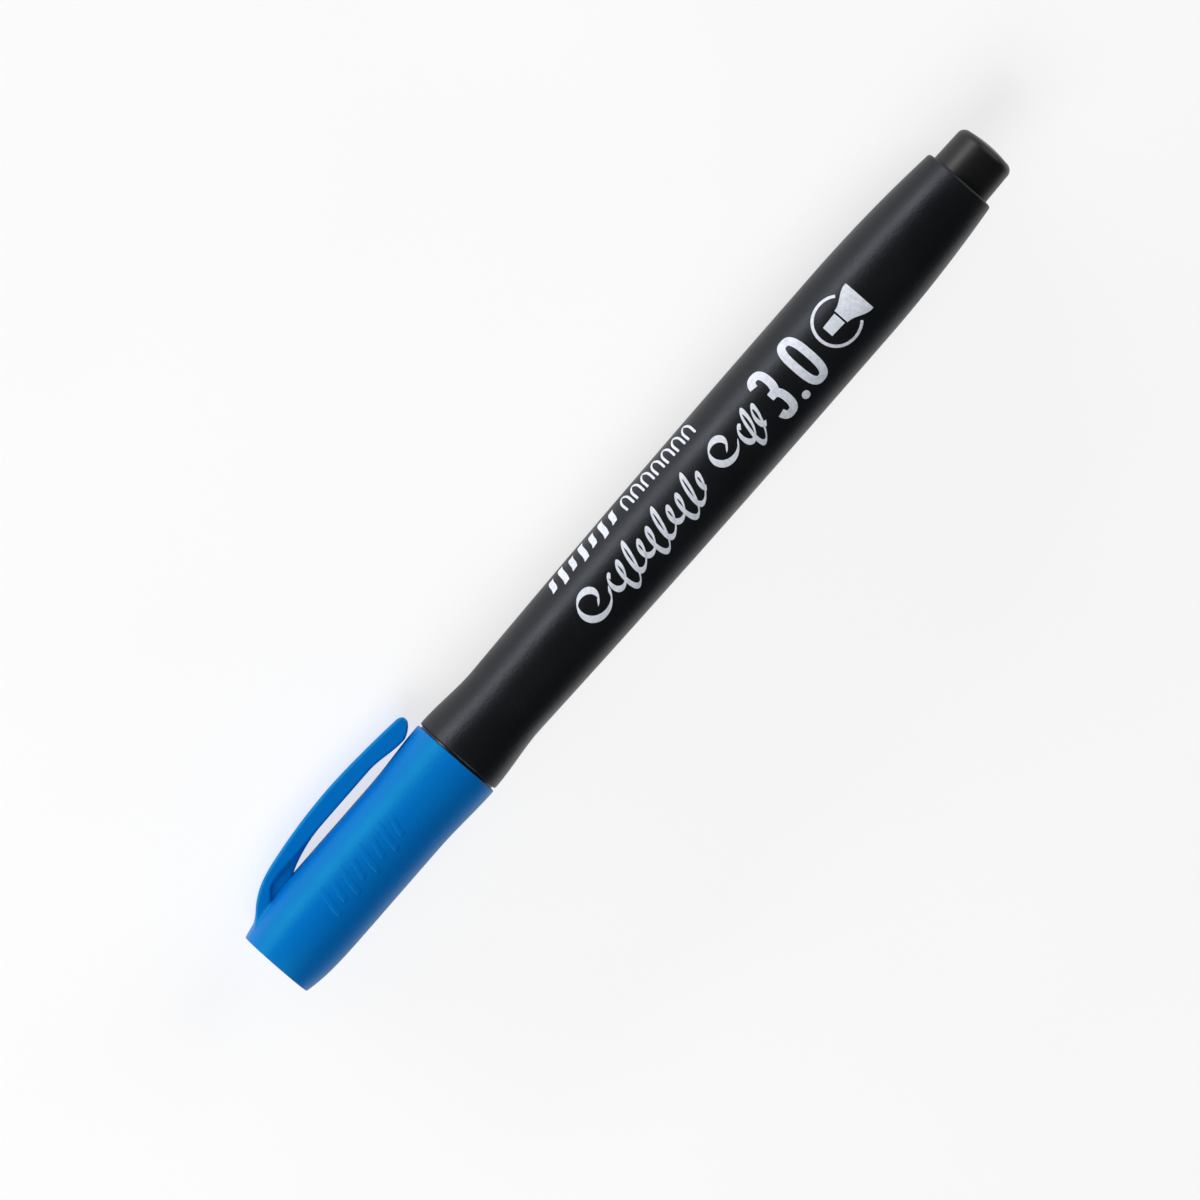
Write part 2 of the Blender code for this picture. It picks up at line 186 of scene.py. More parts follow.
def domed(middle: float, depth: float, radius: float, count: int) -> Array:
    """A shallow dome's section from its rim to its middle: it falls as the square of the distance out."""
    out = np.linspace(radius, 0.0, count)
    return np.column_stack([middle - depth * (out / radius) ** 2, out])


def outline(*stretches: Array) -> Array:
    """Stretches joined end to end, with the points that repeat left out.

    Args:
        *stretches: The stretches, as arrays of (x, radius) rows.

    Returns:
        The outline, as an array of (x, radius) rows.
    """
    points = np.concatenate(stretches)
    moved = np.linalg.norm(np.diff(points, axis=0), axis=1) > SAME_POINT
    return points[np.concatenate([[True], moved])]


def turned(profile: Array, segments: int = 160) -> Array:
    """A profile of (x, radius) points carried round the pen's axis.

    Args:
        profile: The outline, as an array of (x, radius) rows.
        segments: How many columns the full turn has.

    Returns:
        A grid of points: one row per profile point, one column per angle from the clip's side.
    """
    angle = np.linspace(0.0, FULL_TURN, segments, endpoint=False)
    x = np.repeat(profile[:, :1], segments, axis=1)
    return np.stack([x, profile[:, 1:] * np.cos(angle), profile[:, 1:] * np.sin(angle)], axis=-1)


def faces_of(rows: int, columns: int, closure: Closure) -> tuple[Array, Array]:
    """The faces of a grid that wraps round its columns.

    A quad joins each point to the next column and the next row. The points are the poles, then the rows
    that keep their length, and a fan of triangles closes the rows round each pole.

    Args:
        rows: Rows of the grid, with those that shrink to a pole.
        columns: Columns of the grid.
        closure: How the rows end.

    Returns:
        Quads as an array of four indices a row, and triangles as an array of three.
    """
    here = np.arange(columns)
    after = (here + 1) % columns
    poles = closure.poles
    body = rows - poles
    row = np.arange(body if closure is Closure.RING else body - 1)[:, None]
    first = poles + row * columns
    second = poles + (row + 1) % body * columns
    quads = np.stack([first + here, first + after, second + after, second + here], axis=-1).reshape(-1, 4)
    last = poles + (body - 1) * columns
    start_fan = np.column_stack([np.zeros(columns, int), poles + after, poles + here])
    end_fan = np.column_stack([np.ones(columns, int), last + here, last + after])
    return quads, np.concatenate([start_fan, end_fan])[: poles * columns]


@dataclass(frozen=True)
class Surface:
    """Points in the pen's frame, with their quads and triangles as whole arrays of indices."""

    points: Array
    quads: Array
    triangles: Array

    @classmethod
    def of(cls, grid: Array, closure: Closure) -> Surface:
        """A surface from a grid whose columns wrap.

        Args:
            grid: Points as rows by columns by 3.
            closure: How the rows end.

        Returns:
            The surface, with its poles as its first points.
        """
        poles = closure.poles
        middles = grid[[0, -1][:poles]].mean(axis=1)
        rows = grid[min(poles, 1) : len(grid) - max(poles - 1, 0)]
        return cls(np.concatenate([middles, rows.reshape(-1, 3)]), *faces_of(*grid.shape[:2], closure))

    @classmethod
    def closed(cls, grid: Array, closure: Closure) -> Surface:
        """A closed solid from a grid whose columns wrap, with its faces turned to point outwards.

        They point outwards when the tetrahedra from the origin to its triangles have a positive volume in
        all.

        Args:
            grid: Points as rows by columns by 3.
            closure: RING or POLES.

        Returns:
            The solid.
        """
        made = cls.of(grid, closure)
        halves = np.concatenate([made.quads[:, [0, 1, 2]], made.quads[:, [0, 2, 3]], made.triangles])
        a, b, c = (made.points[halves[:, i]] for i in range(3))
        if np.einsum("ij,ij->", a, np.cross(b, c)) > 0.0:
            return made
        return cls(made.points, made.quads[:, ::-1], made.triangles[:, ::-1])

    @classmethod
    def joined(cls, parts: Sequence[Surface]) -> Surface:
        """Several surfaces as one, with each part's indices moved past the points before it.

        Args:
            parts: The surfaces.

        Returns:
            One surface with all their points and faces.
        """
        before = np.cumsum([0] + [len(part.points) for part in parts[:-1]])
        return cls(
            np.concatenate([part.points for part in parts]),
            np.concatenate([part.quads + start for part, start in zip(parts, before)]),
            np.concatenate([part.triangles + start for part, start in zip(parts, before)]),
        )

    def to_mesh(self, name: str, finish: bpy.types.Material) -> bpy.types.Mesh:
        """Writes the arrays into a new smooth mesh, the quads first.

        Args:
            name: The mesh's name.
            finish: The material that it wears.

        Returns:
            The mesh.
        """
        quad_count, triangle_count = len(self.quads), len(self.triangles)
        loops = np.concatenate([self.quads.ravel(), self.triangles.ravel()])
        starts = np.concatenate([4 * np.arange(quad_count), 4 * quad_count + 3 * np.arange(triangle_count)])
        mesh = bpy.data.meshes.new(name)
        mesh.vertices.add(len(self.points))
        mesh.vertices.foreach_set("co", self.points.astype(np.float32).ravel())
        mesh.loops.add(len(loops))
        mesh.loops.foreach_set("vertex_index", loops.astype(np.int32))
        mesh.polygons.add(len(starts))
        mesh.polygons.foreach_set("loop_start", starts.astype(np.int32))
        mesh.update(calc_edges=True)
        mesh.materials.append(finish)
        mesh.shade_smooth()
        return mesh


@dataclass(frozen=True)
class PieceMaker:
    """Puts solids into named Blender objects, at the origin, with their places in their meshes."""

    pen: PenFrame

    def make(
        self, name: str, solids: Sequence[Surface], finish: bpy.types.Material, sharp_degrees: float = 40.0
    ) -> bpy.types.Object:
        """Makes one object from one or more closed solids in the pen's frame.

        Args:
            name: The object's name.
            solids: The solids that it is made of.
            finish: The material that it wears.
            sharp_degrees: Edges that turn more than this are drawn sharp.

        Returns:
            The new object, linked to the scene.
        """
        whole = Surface.joined(solids)
        mesh = Surface(self.pen.place(whole.points), whole.quads, whole.triangles).to_mesh(name, finish)
        mesh.set_sharp_from_angle(angle=math.radians(sharp_degrees))
        made = bpy.data.objects.new(name, mesh)
        bpy.context.scene.collection.objects.link(made)
        return made


def settle(piece: bpy.types.Object, body: str, slot: str, *nodes: str) -> None:
    """Makes a piece ride on a body and hides the CAD nodes that it stands for.

    Args:
        piece: The piece.
        body: The body that it moves with.
        slot: A material slot name; not used.
        *nodes: CAD nodes that it stands for.
    """
    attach(piece, body)
    if nodes:
        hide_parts(*nodes)
    LOG.info("%s rides on %s: %d faces", piece.name, body, len(piece.data.polygons))


# Finishes -----------------------------------------------------------------------------------------------

# A noise texture's values lie mostly between these.
NOISE_SPAN = {"From Min": 0.3, "From Max": 0.7}
# The Mix node's sockets for two colours, by number, because its other kinds share their names.
COLOUR_A, COLOUR_B, COLOUR_RESULT = 6, 7, 2


def linear(hex_colour: str) -> tuple[float, float, float, float]:
    """An sRGB hex colour such as 0a7dc4 as linear red, green, blue and an alpha of 1."""
    channels = [int(hex_colour[i : i + 2], 16) / 255.0 for i in (0, 2, 4)]
    return (*(c / 12.92 if c <= 0.04045 else ((c + 0.055) / 1.055) ** 2.4 for c in channels), 1.0)


def per_metre(millimetres: float) -> float:
    """The scale of a texture whose features are this many millimetres apart."""
    return 1.0 / (millimetres * MM)


def add_node(
    tree: bpy.types.NodeTree, kind: str, sockets: dict[Any, Any] | None = None, **settings: Any
) -> bpy.types.Node:
    """Adds a node with its settings and links.

    Args:
        tree: The node tree.
        kind: The node's type name, such as ShaderNodeTexNoise.
        sockets: Input name or number to a value, or to an output socket to link from.
        **settings: Properties of the node.

    Returns:
        The new node.
    """
    node = tree.nodes.new(kind)
    for key, value in settings.items():
        setattr(node, key, value)
    for key, value in (sockets or {}).items():
        if isinstance(value, bpy.types.NodeSocket):
            tree.links.new(value, node.inputs[key])
        else:
            node.inputs[key].default_value = value
    return node


@dataclass(frozen=True)
class Finish:
    """What every finish has: a name, and two near colours that a pattern mixes."""

    name: str
    colour: str
    deep_colour: str

    def start(self) -> tuple[bpy.types.Material, bpy.types.NodeTree, bpy.types.NodeSocket]:
        """An empty node material, its tree and its Object coordinates.

        Returns:
            The material, its node tree and the socket of the coordinates.
        """
        material = bpy.data.materials.new(self.name)
        material.use_nodes = True
        material.node_tree.nodes.clear()
        coordinates = add_node(material.node_tree, "ShaderNodeTexCoord")
        return material, material.node_tree, coordinates.outputs["Object"]

    def mixed(
        self, tree: bpy.types.NodeTree, pattern: bpy.types.NodeSocket, most: float = 1.0
    ) -> bpy.types.NodeSocket:
        """The two colours mixed by a noise, from none of the deeper one to the most of it.

        Args:
            tree: The node tree.
            pattern: The noise.
            most: The deeper colour's largest share.

        Returns:
            The mixed colour.
        """
        share = add_node(
            tree, "ShaderNodeMapRange", {"Value": pattern, **NOISE_SPAN, "To Min": 0.0, "To Max": most}
        )
        colours = {COLOUR_A: linear(self.colour), COLOUR_B: linear(self.deep_colour)}
        mix = add_node(
            tree, "ShaderNodeMix", {"Factor": share.outputs["Result"], **colours}, data_type="RGBA"
        )
        return mix.outputs[COLOUR_RESULT]

    def end(self, tree: bpy.types.NodeTree, sockets: dict[str, Any]) -> None:
        """Puts the shader with these inputs on the surface."""
        shader = add_node(tree, "ShaderNodeBsdfPrincipled", sockets)
        add_node(tree, "ShaderNodeOutputMaterial", {"Surface": shader.outputs["BSDF"]})


@dataclass(frozen=True)
class MouldedPolypropylene(Finish):
    """Injection-moulded polypropylene, which takes the fine spark-eroded texture of its mould.

    The grain scatters the gloss into a soft sheen. Slow drifts in colour and gloss come from the melt's
    flow. The real grain is about 0.1 mm wide, and is drawn coarser so that it shows.
    """

    roughness: float
    grain_mm: float
    grain_depth_mm: float
    specular: float = 0.5
    specular_tint: str = "ffffff"
    roughness_drift: float = 0.05
    flow_mm: float = 9.0
    speck_spacing: float = 2.2
    speck_share: float = 0.35
    ior: float = 1.49

    def build(self) -> bpy.types.Material:
        """Builds the node material.

        Returns:
            The material.
        """
        material, tree, where = self.start()
        flow = add_node(
            tree, "ShaderNodeTexNoise", {"Vector": where, "Scale": per_metre(self.flow_mm), "Detail": 3.0}
        ).outputs["Fac"]
        grain = add_node(
            tree, "ShaderNodeTexNoise", {"Vector": where, "Scale": per_metre(self.grain_mm), "Detail": 2.0}
        ).outputs["Fac"]
        speck_scale = per_metre(self.grain_mm * self.speck_spacing)
        specks = add_node(tree, "ShaderNodeTexVoronoi", {"Vector": where, "Scale": speck_scale})
        texture = add_node(
            tree,
            "ShaderNodeMix",
            {"Factor": self.speck_share, "A": grain, "B": specks.outputs["Distance"]},
            data_type="FLOAT",
        ).outputs["Result"]
        drift = {"To Min": -self.roughness_drift, "To Max": self.roughness_drift}
        drifted = add_node(tree, "ShaderNodeMapRange", {"Value": flow, **NOISE_SPAN, **drift}).outputs["Result"]
        roughness = add_node(tree, "ShaderNodeMath", {0: drifted, 1: self.roughness}, operation="ADD")
        bump = add_node(
            tree,
            "ShaderNodeBump",
            {"Height": texture, "Distance": self.grain_depth_mm * MM, "Strength": 1.0},
        )
        self.end(
            tree,
            {
                "Base Color": self.mixed(tree, flow),
                "Roughness": roughness.outputs["Value"],
                "IOR": self.ior,
                "Specular IOR Level": self.specular,
                "Specular Tint": linear(self.specular_tint),
                "Normal": bump.outputs["Normal"],
            },
        )
        return material


@dataclass(frozen=True)
class MottledFilm(Finish):
    """A thin film whose colour, gloss and height wander together, as print and wound film do."""

    mottle_mm: float
    detail: float
    most_deep: float
    least_rough: float
    most_rough: float
    relief_mm: float
    relief_strength: float

    def build(self) -> bpy.types.Material:
        """Builds the node material.

        Returns:
            The material.
        """
        material, tree, where = self.start()
        mottle = add_node(
            tree,
            "ShaderNodeTexNoise",
            {"Vector": where, "Scale": per_metre(self.mottle_mm), "Detail": self.detail},
        ).outputs["Fac"]
        gloss = {"To Min": self.least_rough, "To Max": self.most_rough}
        roughness = add_node(tree, "ShaderNodeMapRange", {"Value": mottle, **NOISE_SPAN, **gloss})
        bump = add_node(
            tree,
            "ShaderNodeBump",
            {"Height": mottle, "Distance": self.relief_mm * MM, "Strength": self.relief_strength},
        )
        self.end(
            tree,
            {
                "Base Color": self.mixed(tree, mottle, self.most_deep),
                "Roughness": roughness.outputs["Result"],
                "Normal": bump.outputs["Normal"],
            },
        )
        return material


@dataclass(frozen=True)
class BondedFibre(Finish):
    """Fibres laid along the pen and bonded: matt, streaked along x, dark where they hold ink.

    The real fibres are about 0.02 mm thick, and are drawn coarser so that they show.
    """

    fibre_mm: float
    streak: float = 24.0
    relief_mm: float = 0.03

    def build(self) -> bpy.types.Material:
        """Builds the node material.

        Returns:
            The material.
        """
        material, tree, where = self.start()
        drawn_out = add_node(
            tree, "ShaderNodeMapping", {"Vector": where, "Scale": (1.0 / self.streak, 1.0, 1.0)}
        ).outputs["Vector"]
        fibres = add_node(
            tree, "ShaderNodeTexNoise", {"Vector": drawn_out, "Scale": per_metre(self.fibre_mm), "Detail": 3.0}
        ).outputs["Fac"]
        roughness = add_node(
            tree, "ShaderNodeMapRange", {"Value": fibres, **NOISE_SPAN, "To Min": 0.75, "To Max": 0.92}
        )
        bump = add_node(
            tree, "ShaderNodeBump", {"Height": fibres, "Distance": self.relief_mm * MM, "Strength": 0.8}
        )
        self.end(
            tree,
            {
                "Base Color": self.mixed(tree, fibres),
                "Roughness": roughness.outputs["Result"],
                "Normal": bump.outputs["Normal"],
                "Sheen Weight": 0.15,
                "Sheen Roughness": 0.5,
            },
        )
        return material


@dataclass(frozen=True)
class OpalAcrylic(Finish):
    """A sheet of opal acrylic lit from below, as a light table is: matt, pale, with a slight glow."""

    glow: float
    cloud_mm: float = 40.0

    def build(self) -> bpy.types.Material:
        """Builds the node material.

        Returns:
            The material.
        """
        material, tree, where = self.start()
        clouds = add_node(
            tree, "ShaderNodeTexNoise", {"Vector": where, "Scale": per_metre(self.cloud_mm), "Detail": 2.0}
        ).outputs["Fac"]
        self.end(
            tree,
            {
                "Base Color": self.mixed(tree, clouds),
                "Roughness": 0.9,
                "Specular IOR Level": 0.1,
                "Emission Color": (1.0, 1.0, 1.0, 1.0),
                "Emission Strength": self.glow,
            },
        )
        return material


# The real cap: polypropylene, moulded in a fine satin mould. It gives a deep sky blue, with a broad soft
# sheen that stays blue because the pigment lies right under the surface.
CAP_BLUE = MouldedPolypropylene(
    name="satin_moulded_polypropylene_blue",
    colour="006bc3",
    deep_colour="0067bd",
    roughness=0.44,
    grain_mm=0.26,
    grain_depth_mm=0.03,
    specular=0.55,
    specular_tint="40ff94",
)
# The real barrel: polypropylene with carbon black, moulded in a spark-eroded mould. It gives a deep black
# with one grey, slightly cool highlight along its length.
BARREL_BLACK = MouldedPolypropylene(
    name="spark_textured_polypropylene_black",
    colour="040506",
    deep_colour="020303",
    roughness=0.42,
    grain_mm=0.24,
    grain_depth_mm=0.03,
    specular=0.46,
    specular_tint="eaf0ff",
)
# The same black polypropylene from a smoother mould: a little coarser in its grain, and shallower.
PLUG_BLACK = MouldedPolypropylene(
    name="moulded_polypropylene_black",
    colour="070808",
    deep_colour="050606",
    roughness=0.42,
    grain_mm=0.34,
    grain_depth_mm=0.015,
    specular=0.44,
)
# Polypropylene from a polished mould, because the cap and its liner seal on it: the glossiest of the blacks.
HOLDER_BLACK = MouldedPolypropylene(
    name="front_section_polypropylene_black",
    colour="1a1b1d",
    deep_colour="141517",
    roughness=0.36,
    grain_mm=0.4,
    grain_depth_mm=0.006,
)
# Polyethylene without pigment, moulded smooth: milky, waxy and soft enough to seal.
LINER_NATURAL = MouldedPolypropylene(
    name="natural_polyethylene",
    colour="dcdcd6",
    deep_colour="cfcfc8",
    roughness=0.4,
    grain_mm=0.5,
    grain_depth_mm=0.006,
)
# Opaque pad-printing ink: a thin silvery white film, slightly uneven where the pad lifted.
PRINT_INK = MottledFilm(
    name="pad_printed_ink",
    colour="e6eaf2",
    deep_colour="c3cad8",
    mottle_mm=0.5,
    detail=4.0,
    most_deep=0.8,
    least_rough=0.38,
    most_rough=0.5,
    relief_mm=0.01,
    relief_strength=0.6,
)
# Thin polypropylene film, wound round the ink core: glossy and milky, with faint wrinkles.
WOUND_FILM = MottledFilm(
    name="wound_film",
    colour="dfe3e2",
    deep_colour="aebac6",
    mottle_mm=1.6,
    detail=2.0,
    most_deep=1.0,
    least_rough=0.18,
    most_rough=0.3,
    relief_mm=0.05,
    relief_strength=0.5,
)
# Acrylic fibres, bonded and ground to an edge, full of dark ink: matt, with fine streaks along the nib.
NIB_FIBRE = BondedFibre("bonded_fibre_inked", "1b2233", "0c1020", fibre_mm=0.16)
# Loose polyester fibres in a bundle, soaked with ink: matt and bluer where the ink is thin.
INK_FIBRE = BondedFibre("bundled_fibre_soaked", "2a3f86", "1a2a66", fibre_mm=0.12)
# The table that the pen lies on: opal acrylic, extruded and matt, which glows enough to thin out shadows.
TABLE_ACRYLIC = OpalAcrylic("opal_acrylic", "b4b4b4", "b1b1b2", glow=0.69)


# Sub-assemblies -----------------------------------------------------------------------------------------


@dataclass(frozen=True)
class Span:
    """Where a turned CAD node lies: its front and rear along the pen, and its largest radius."""

    front: float
    rear: float
    radius: float

    @classmethod
    def of(cls, node: str) -> Span:
        """Measures a node's box in the frame."""
        low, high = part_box(node)
        return cls(low.x, high.x, (high.z - low.z) / 2)


@dataclass
class Barrel:
    """The tube that is held to write, with its tail plug."""

    span: Span
    plug: Span
    front_radius: float = 6.37 * MM
    land: float = 0.4 * MM
    waist_at: float = 9.2 * MM
    waist_radius: float = 5.79 * MM
    belly_at: float = 64.4 * MM
    belly_radius: float = 6.38 * MM
    tail_taper: float = 21.6 * MM
    rear_radius: float = 5.22 * MM
    front_edge: float = 0.22 * MM
    rear_edge: float = 0.4 * MM
    bore_radius: float = 4.68 * MM
    collar_gap: float = 0.06 * MM
    collar_depth: float = 2.0 * MM
    plug_draft: float = 0.1 * MM
    plug_chamfer: float = 0.3 * MM
    plug_corner: float = 1.15 * MM
    plug_dome: float = 0.3 * MM
    plug_wall: float = 1.0 * MM
    plug_end_wall: float = 2.0 * MM

    def outer_radius(self, x: Array | float) -> Array:
        """The barrel's outer radius at each x.

        Behind the front edge it eases down to the waist, rises as a parabola to the belly, and falls as a
        parabola over the tail taper.

        Args:
            x: Places along the pen.

        Returns:
            The radius at each place.
        """
        waist = self.span.front + self.waist_at
        belly = self.span.front + self.belly_at
        taper = self.span.rear - self.tail_taper
        land = self.span.front + self.land
        front_drop = smooth((x - land) / (waist - land)) * (self.front_radius - self.waist_radius)
        rise = 1.0 - np.clip((belly - x) / (belly - waist), 0.0, 1.0) ** 2
        fall = np.clip((x - taper) / self.tail_taper, 0.0, 1.0) ** 2
        body = self.waist_radius + (self.belly_radius - self.waist_radius) * rise
        body = body - (self.belly_radius - self.rear_radius) * fall
        return np.where(x < waist, self.front_radius - front_drop, body)

    def barrel_outline(self) -> Array:
        """The barrel's section: outside, rear edge, the collar round the plug, and the bore.

        Returns:
            The outline, as an array of (x, radius) rows.
        """
        start, end = self.span.front, self.span.rear
        run = np.linspace(start + self.front_edge, end - self.rear_edge, 150)
        skin = np.column_stack([run, self.outer_radius(run)])
        front_centre = (start + self.front_edge, self.front_radius - self.front_edge)
        rear_centre = (end - self.rear_edge, float(skin[-1, 1]) - self.rear_edge)
        collar = self.plug.radius + self.collar_gap
        bevel = self.front_edge / 2
        return outline(
            corner(front_centre, self.front_edge, 180.0, 90.0),
            skin,
            corner(rear_centre, self.rear_edge, 90.0, 0.0),
            straight((end, rear_centre[1]), (end, collar + bevel), 6),
            straight((end - bevel, collar), (end - self.collar_depth, collar), 4),
            straight((end - self.collar_depth, self.bore_radius), (start, self.bore_radius), 12),
            straight((start, self.bore_radius), (start, front_centre[1]), 6),
        )

    def plug_outline(self) -> Array:
        """The plug's section, from the bottom of its hollow round its insert to the middle of its dome.

        Returns:
            The outline, as an array of (x, radius) rows.
        """
        front, rear, radius = self.plug.front, self.plug.rear, self.plug.radius
        stub = radius - self.plug_draft
        hollow = radius - self.plug_wall
        hollow_end = self.span.rear - self.plug_end_wall
        corner_x = rear - self.plug_dome - self.plug_corner
        dome_radius = stub - self.plug_corner
        return outline(
            straight((hollow_end, 0.0), (hollow_end, hollow), 6),
            straight((front, hollow), (front, radius - self.plug_chamfer), 3),
            straight((front + self.plug_chamfer, radius), (self.span.rear, radius), 8),
            straight((self.span.rear, radius), (corner_x, stub), 10),
            corner((corner_x, dome_radius), self.plug_corner, 90.0, 12.0, 14),
            domed(rear, self.plug_dome, dome_radius, 14),
        )

    def build(self, maker: PieceMaker, skin: bpy.types.Material, plug_skin: bpy.types.Material) -> None:
        """Makes the barrel and its plug.

        Args:
            maker: Puts the solids into objects.
            skin: The barrel's finish.
            plug_skin: The plug's finish.
        """
        tube = Surface.closed(turned(self.barrel_outline(), 192), Closure.RING)
        settle(maker.make("barrel_tube", [tube], skin), "barrel", "barrel_black", "barrel")
        stub = Surface.closed(turned(self.plug_outline(), 128), Closure.POLES)
        settle(maker.make("tail_stub", [stub], plug_skin), "barrel", "plug_black", "tail_plug")


@dataclass
class Cap:
    """The moulded cap: its tapered shell, with the root that its clip grows from."""

    span: Span
    radius: float = 6.06 * MM
    end_radius: float = 5.15 * MM
    mouth_radius: float = 6.47 * MM
    end_taper: float = 11.4 * MM
    end_fullness: float = 3.5
    flare_length: float = 10.0 * MM
    end_edge: float = 0.12 * MM
    mouth_edge: float = 0.2 * MM
    wall: float = 0.96 * MM
    end_wall: float = 1.5 * MM
    skirt_depth: float = 6.8 * MM
    bore_narrowing: float = 0.65 * MM
    bore_taper: float = 3.0 * MM
    gate_radius: float = 0.9 * MM
    gate_depth: float = 0.06 * MM
    groove_depth: float = 0.12 * MM
    groove_half_length: float = 0.9 * MM
    root_front: float = 2.2 * MM
    root_rear: float = 7.2 * MM
    root_fillet: float = 0.9 * MM
    root_fillet_loss: float = 0.65
    root_fillet_narrows: tuple[float, float] = (3.5 * MM, 6.5 * MM)
    root_fade: tuple[float, float] = (4.5 * MM, 6.2 * MM)

    def outer_radius(self, x: Array | float) -> Array:
        """The shell's outer radius: a full taper at the closed end and a smooth flare at the mouth.

        Args:
            x: Places along the pen.

        Returns:
            The radius at each place.
        """
        taper = np.clip((self.end_taper - x) / (self.end_taper - self.end_edge), 0.0, 1.0)
        flare = smooth((x - (self.span.rear - self.flare_length)) / self.flare_length)
        narrowed = (self.radius - self.end_radius - self.end_edge) * taper**self.end_fullness
        return self.radius - narrowed + (self.mouth_radius - self.radius) * flare

    def skin_outline(self) -> Array:
        """The shell's outside, with its rows closest where the clip's root rises.

        Returns:
            The outline, as an array of (x, radius) rows.
        """
        front = np.linspace(self.end_edge, self.root_front, 16)
        root = np.linspace(self.root_front, self.root_rear, 70)
        rear = np.linspace(self.root_rear, self.span.rear - self.mouth_edge, 80)
        run = np.concatenate([front[:-1], root[:-1], rear])
        return np.column_stack([run, self.outer_radius(run)])

    def end_outline(self) -> Array:
        """The closed end from its middle: the gate's shallow dimple, the flat face and its rounded edge.

        Returns:
            The outline, as an array of (x, radius) rows.
        """
        gate = self.gate_radius
        return outline(
            straight((self.gate_depth, 0.0), (self.gate_depth, gate - self.gate_depth), 5),
            straight((0.0, gate), (0.0, self.end_radius), 14),
            corner((self.end_edge, self.end_radius), self.end_edge, 180.0, 90.0, 6),
        )

    def inside_outline(self) -> Array:
        """The mouth's rim and the inside: a wide skirt with a shallow groove, the bore, and its bottom.

        Returns:
            The outline, as an array of (x, radius) rows.
        """
        mouth, edge = self.span.rear, self.mouth_edge
        wide = self.mouth_radius - self.wall
        bore = self.radius - self.wall
        narrow = bore - self.bore_narrowing
        skirt = mouth - self.skirt_depth
        groove = mouth - self.skirt_depth / 2
        groove_rear, groove_front = groove + self.groove_half_length, groove - self.groove_half_length
        return outline(
            corner((mouth - edge, self.mouth_radius - edge), edge, 90.0, 0.0),
            straight((mouth, wide + edge), (mouth - edge, wide)),
            straight((mouth - edge, wide), (groove_rear, wide), 4),
            eased((groove_rear, wide), (groove, wide + self.groove_depth), 6),
            eased((groove, wide + self.groove_depth), (groove_front, wide), 6),
            straight((skirt, wide), (skirt - 2 * (wide - bore), bore), 3),
            straight((self.end_wall + self.bore_taper, bore), (self.end_wall, narrow), 4),
            straight((self.end_wall, narrow), (self.end_wall, 0.0), 6),
        )

    def shell_grid(self, clip: Clip) -> Array:
        """The shell with the front of the clip's root blended out of it.

        Round the turn the columns crowd where the root's sides rise. There the radius is the smooth maximum
        of the round shell and of the root's rounded section, so the two meet in a fillet.

        Args:
            clip: The clip whose root is blended in.

        Returns:
            A grid of points: one row per place along the pen, one column per place round it.
        """
        end, skin = self.end_outline(), self.skin_outline()
        profile = outline(end, skin, self.inside_outline())
        rows = slice(len(end) - 1, len(end) + len(skin) - 1)
        near = np.concatenate([np.linspace(0.0, 12.0, 16), np.linspace(12.0, 36.0, 97)[1:]])
        half = np.radians(np.concatenate([near, np.linspace(36.0, 180.0, 73)[1:]]))
        angle = np.concatenate([half, FULL_TURN - half[1:-1][::-1]])
        x = profile[:, :1]
        radius = np.repeat(profile[:, 1:], len(angle), axis=1)
        root = clip.root_radius(x[rows], angle[None, :], *self.root_fade)
        shell = radius[rows]
        start, stop = self.root_fillet_narrows
        narrowing = self.root_fillet_loss * smooth((x[rows] - start) / (stop - start))
        blend = self.root_fillet * (1.0 - narrowing)
        share = np.clip(0.5 + 0.5 * (root - shell) / blend, 0.0, 1.0)
        radius[rows] = shell + (root - shell) * share + blend * share * (1.0 - share)
        return np.stack([np.repeat(x, len(angle), axis=1), radius * np.cos(angle), radius * np.sin(angle)], -1)

    def build(self, maker: PieceMaker, clip: Clip, skin: bpy.types.Material) -> None:
        """Makes the shell."""
        shell = Surface.closed(self.shell_grid(clip), Closure.POLES)
        settle(maker.make("cap_moulding", [shell], skin, 55.0), "cap", "cap_blue", "cap_shell")


@dataclass
class Liner:
    """The inner cap: a cup inside the cap, whose mouth seals round the holder's land."""

    span: Span
    cap: Cap
    land_radius: float
    gap: float = 0.3 * MM
    wall: float = 0.65 * MM
    floor_inset: float = 3.0 * MM
    floor_thickness: float = 0.8 * MM
    ring_length: float = 2.2 * MM
    ring_ramp: float = 0.25 * MM
    lip: float = 0.2 * MM

    def section(self) -> Array:
        """The cup's section: its skirt to the cap's end, its ring, its mouth's rounded lip and its inside.

        Returns:
            The outline, as an array of (x, radius) rows.
        """
        cap, span, lip = self.cap, self.span, self.lip
        bore = self.land_radius + self.gap
        outer = bore + self.wall
        skirt = cap.radius - cap.wall - cap.bore_narrowing - self.gap
        floor = cap.end_wall + self.floor_inset
        ring_end = floor + self.ring_length
        mouth = span.rear - lip
        inner_floor = floor + self.floor_thickness
        return outline(
            straight((floor, 0.0), (floor, skirt - self.wall), 5),
            straight((span.front, skirt - self.wall), (span.front, skirt), 3),
            straight((floor, span.radius), (ring_end, span.radius), 4),
            straight((ring_end + self.ring_ramp, outer), (mouth, outer), 12),
            corner((mouth, outer - lip), lip, 90.0, 0.0, 5),
            corner((mouth, bore + lip), lip, 0.0, -90.0, 5),
            straight((mouth, bore), (inner_floor, bore), 12),
            straight((inner_floor, bore), (inner_floor, 0.0), 6),
        )

    def build(self, maker: PieceMaker, finish: bpy.types.Material) -> None:
        """Makes the cup."""
        cup = Surface.closed(turned(self.section(), 96), Closure.POLES)
        settle(maker.make("inner_cap", [cup], finish), "cap", "liner_natural", "cap_liner")


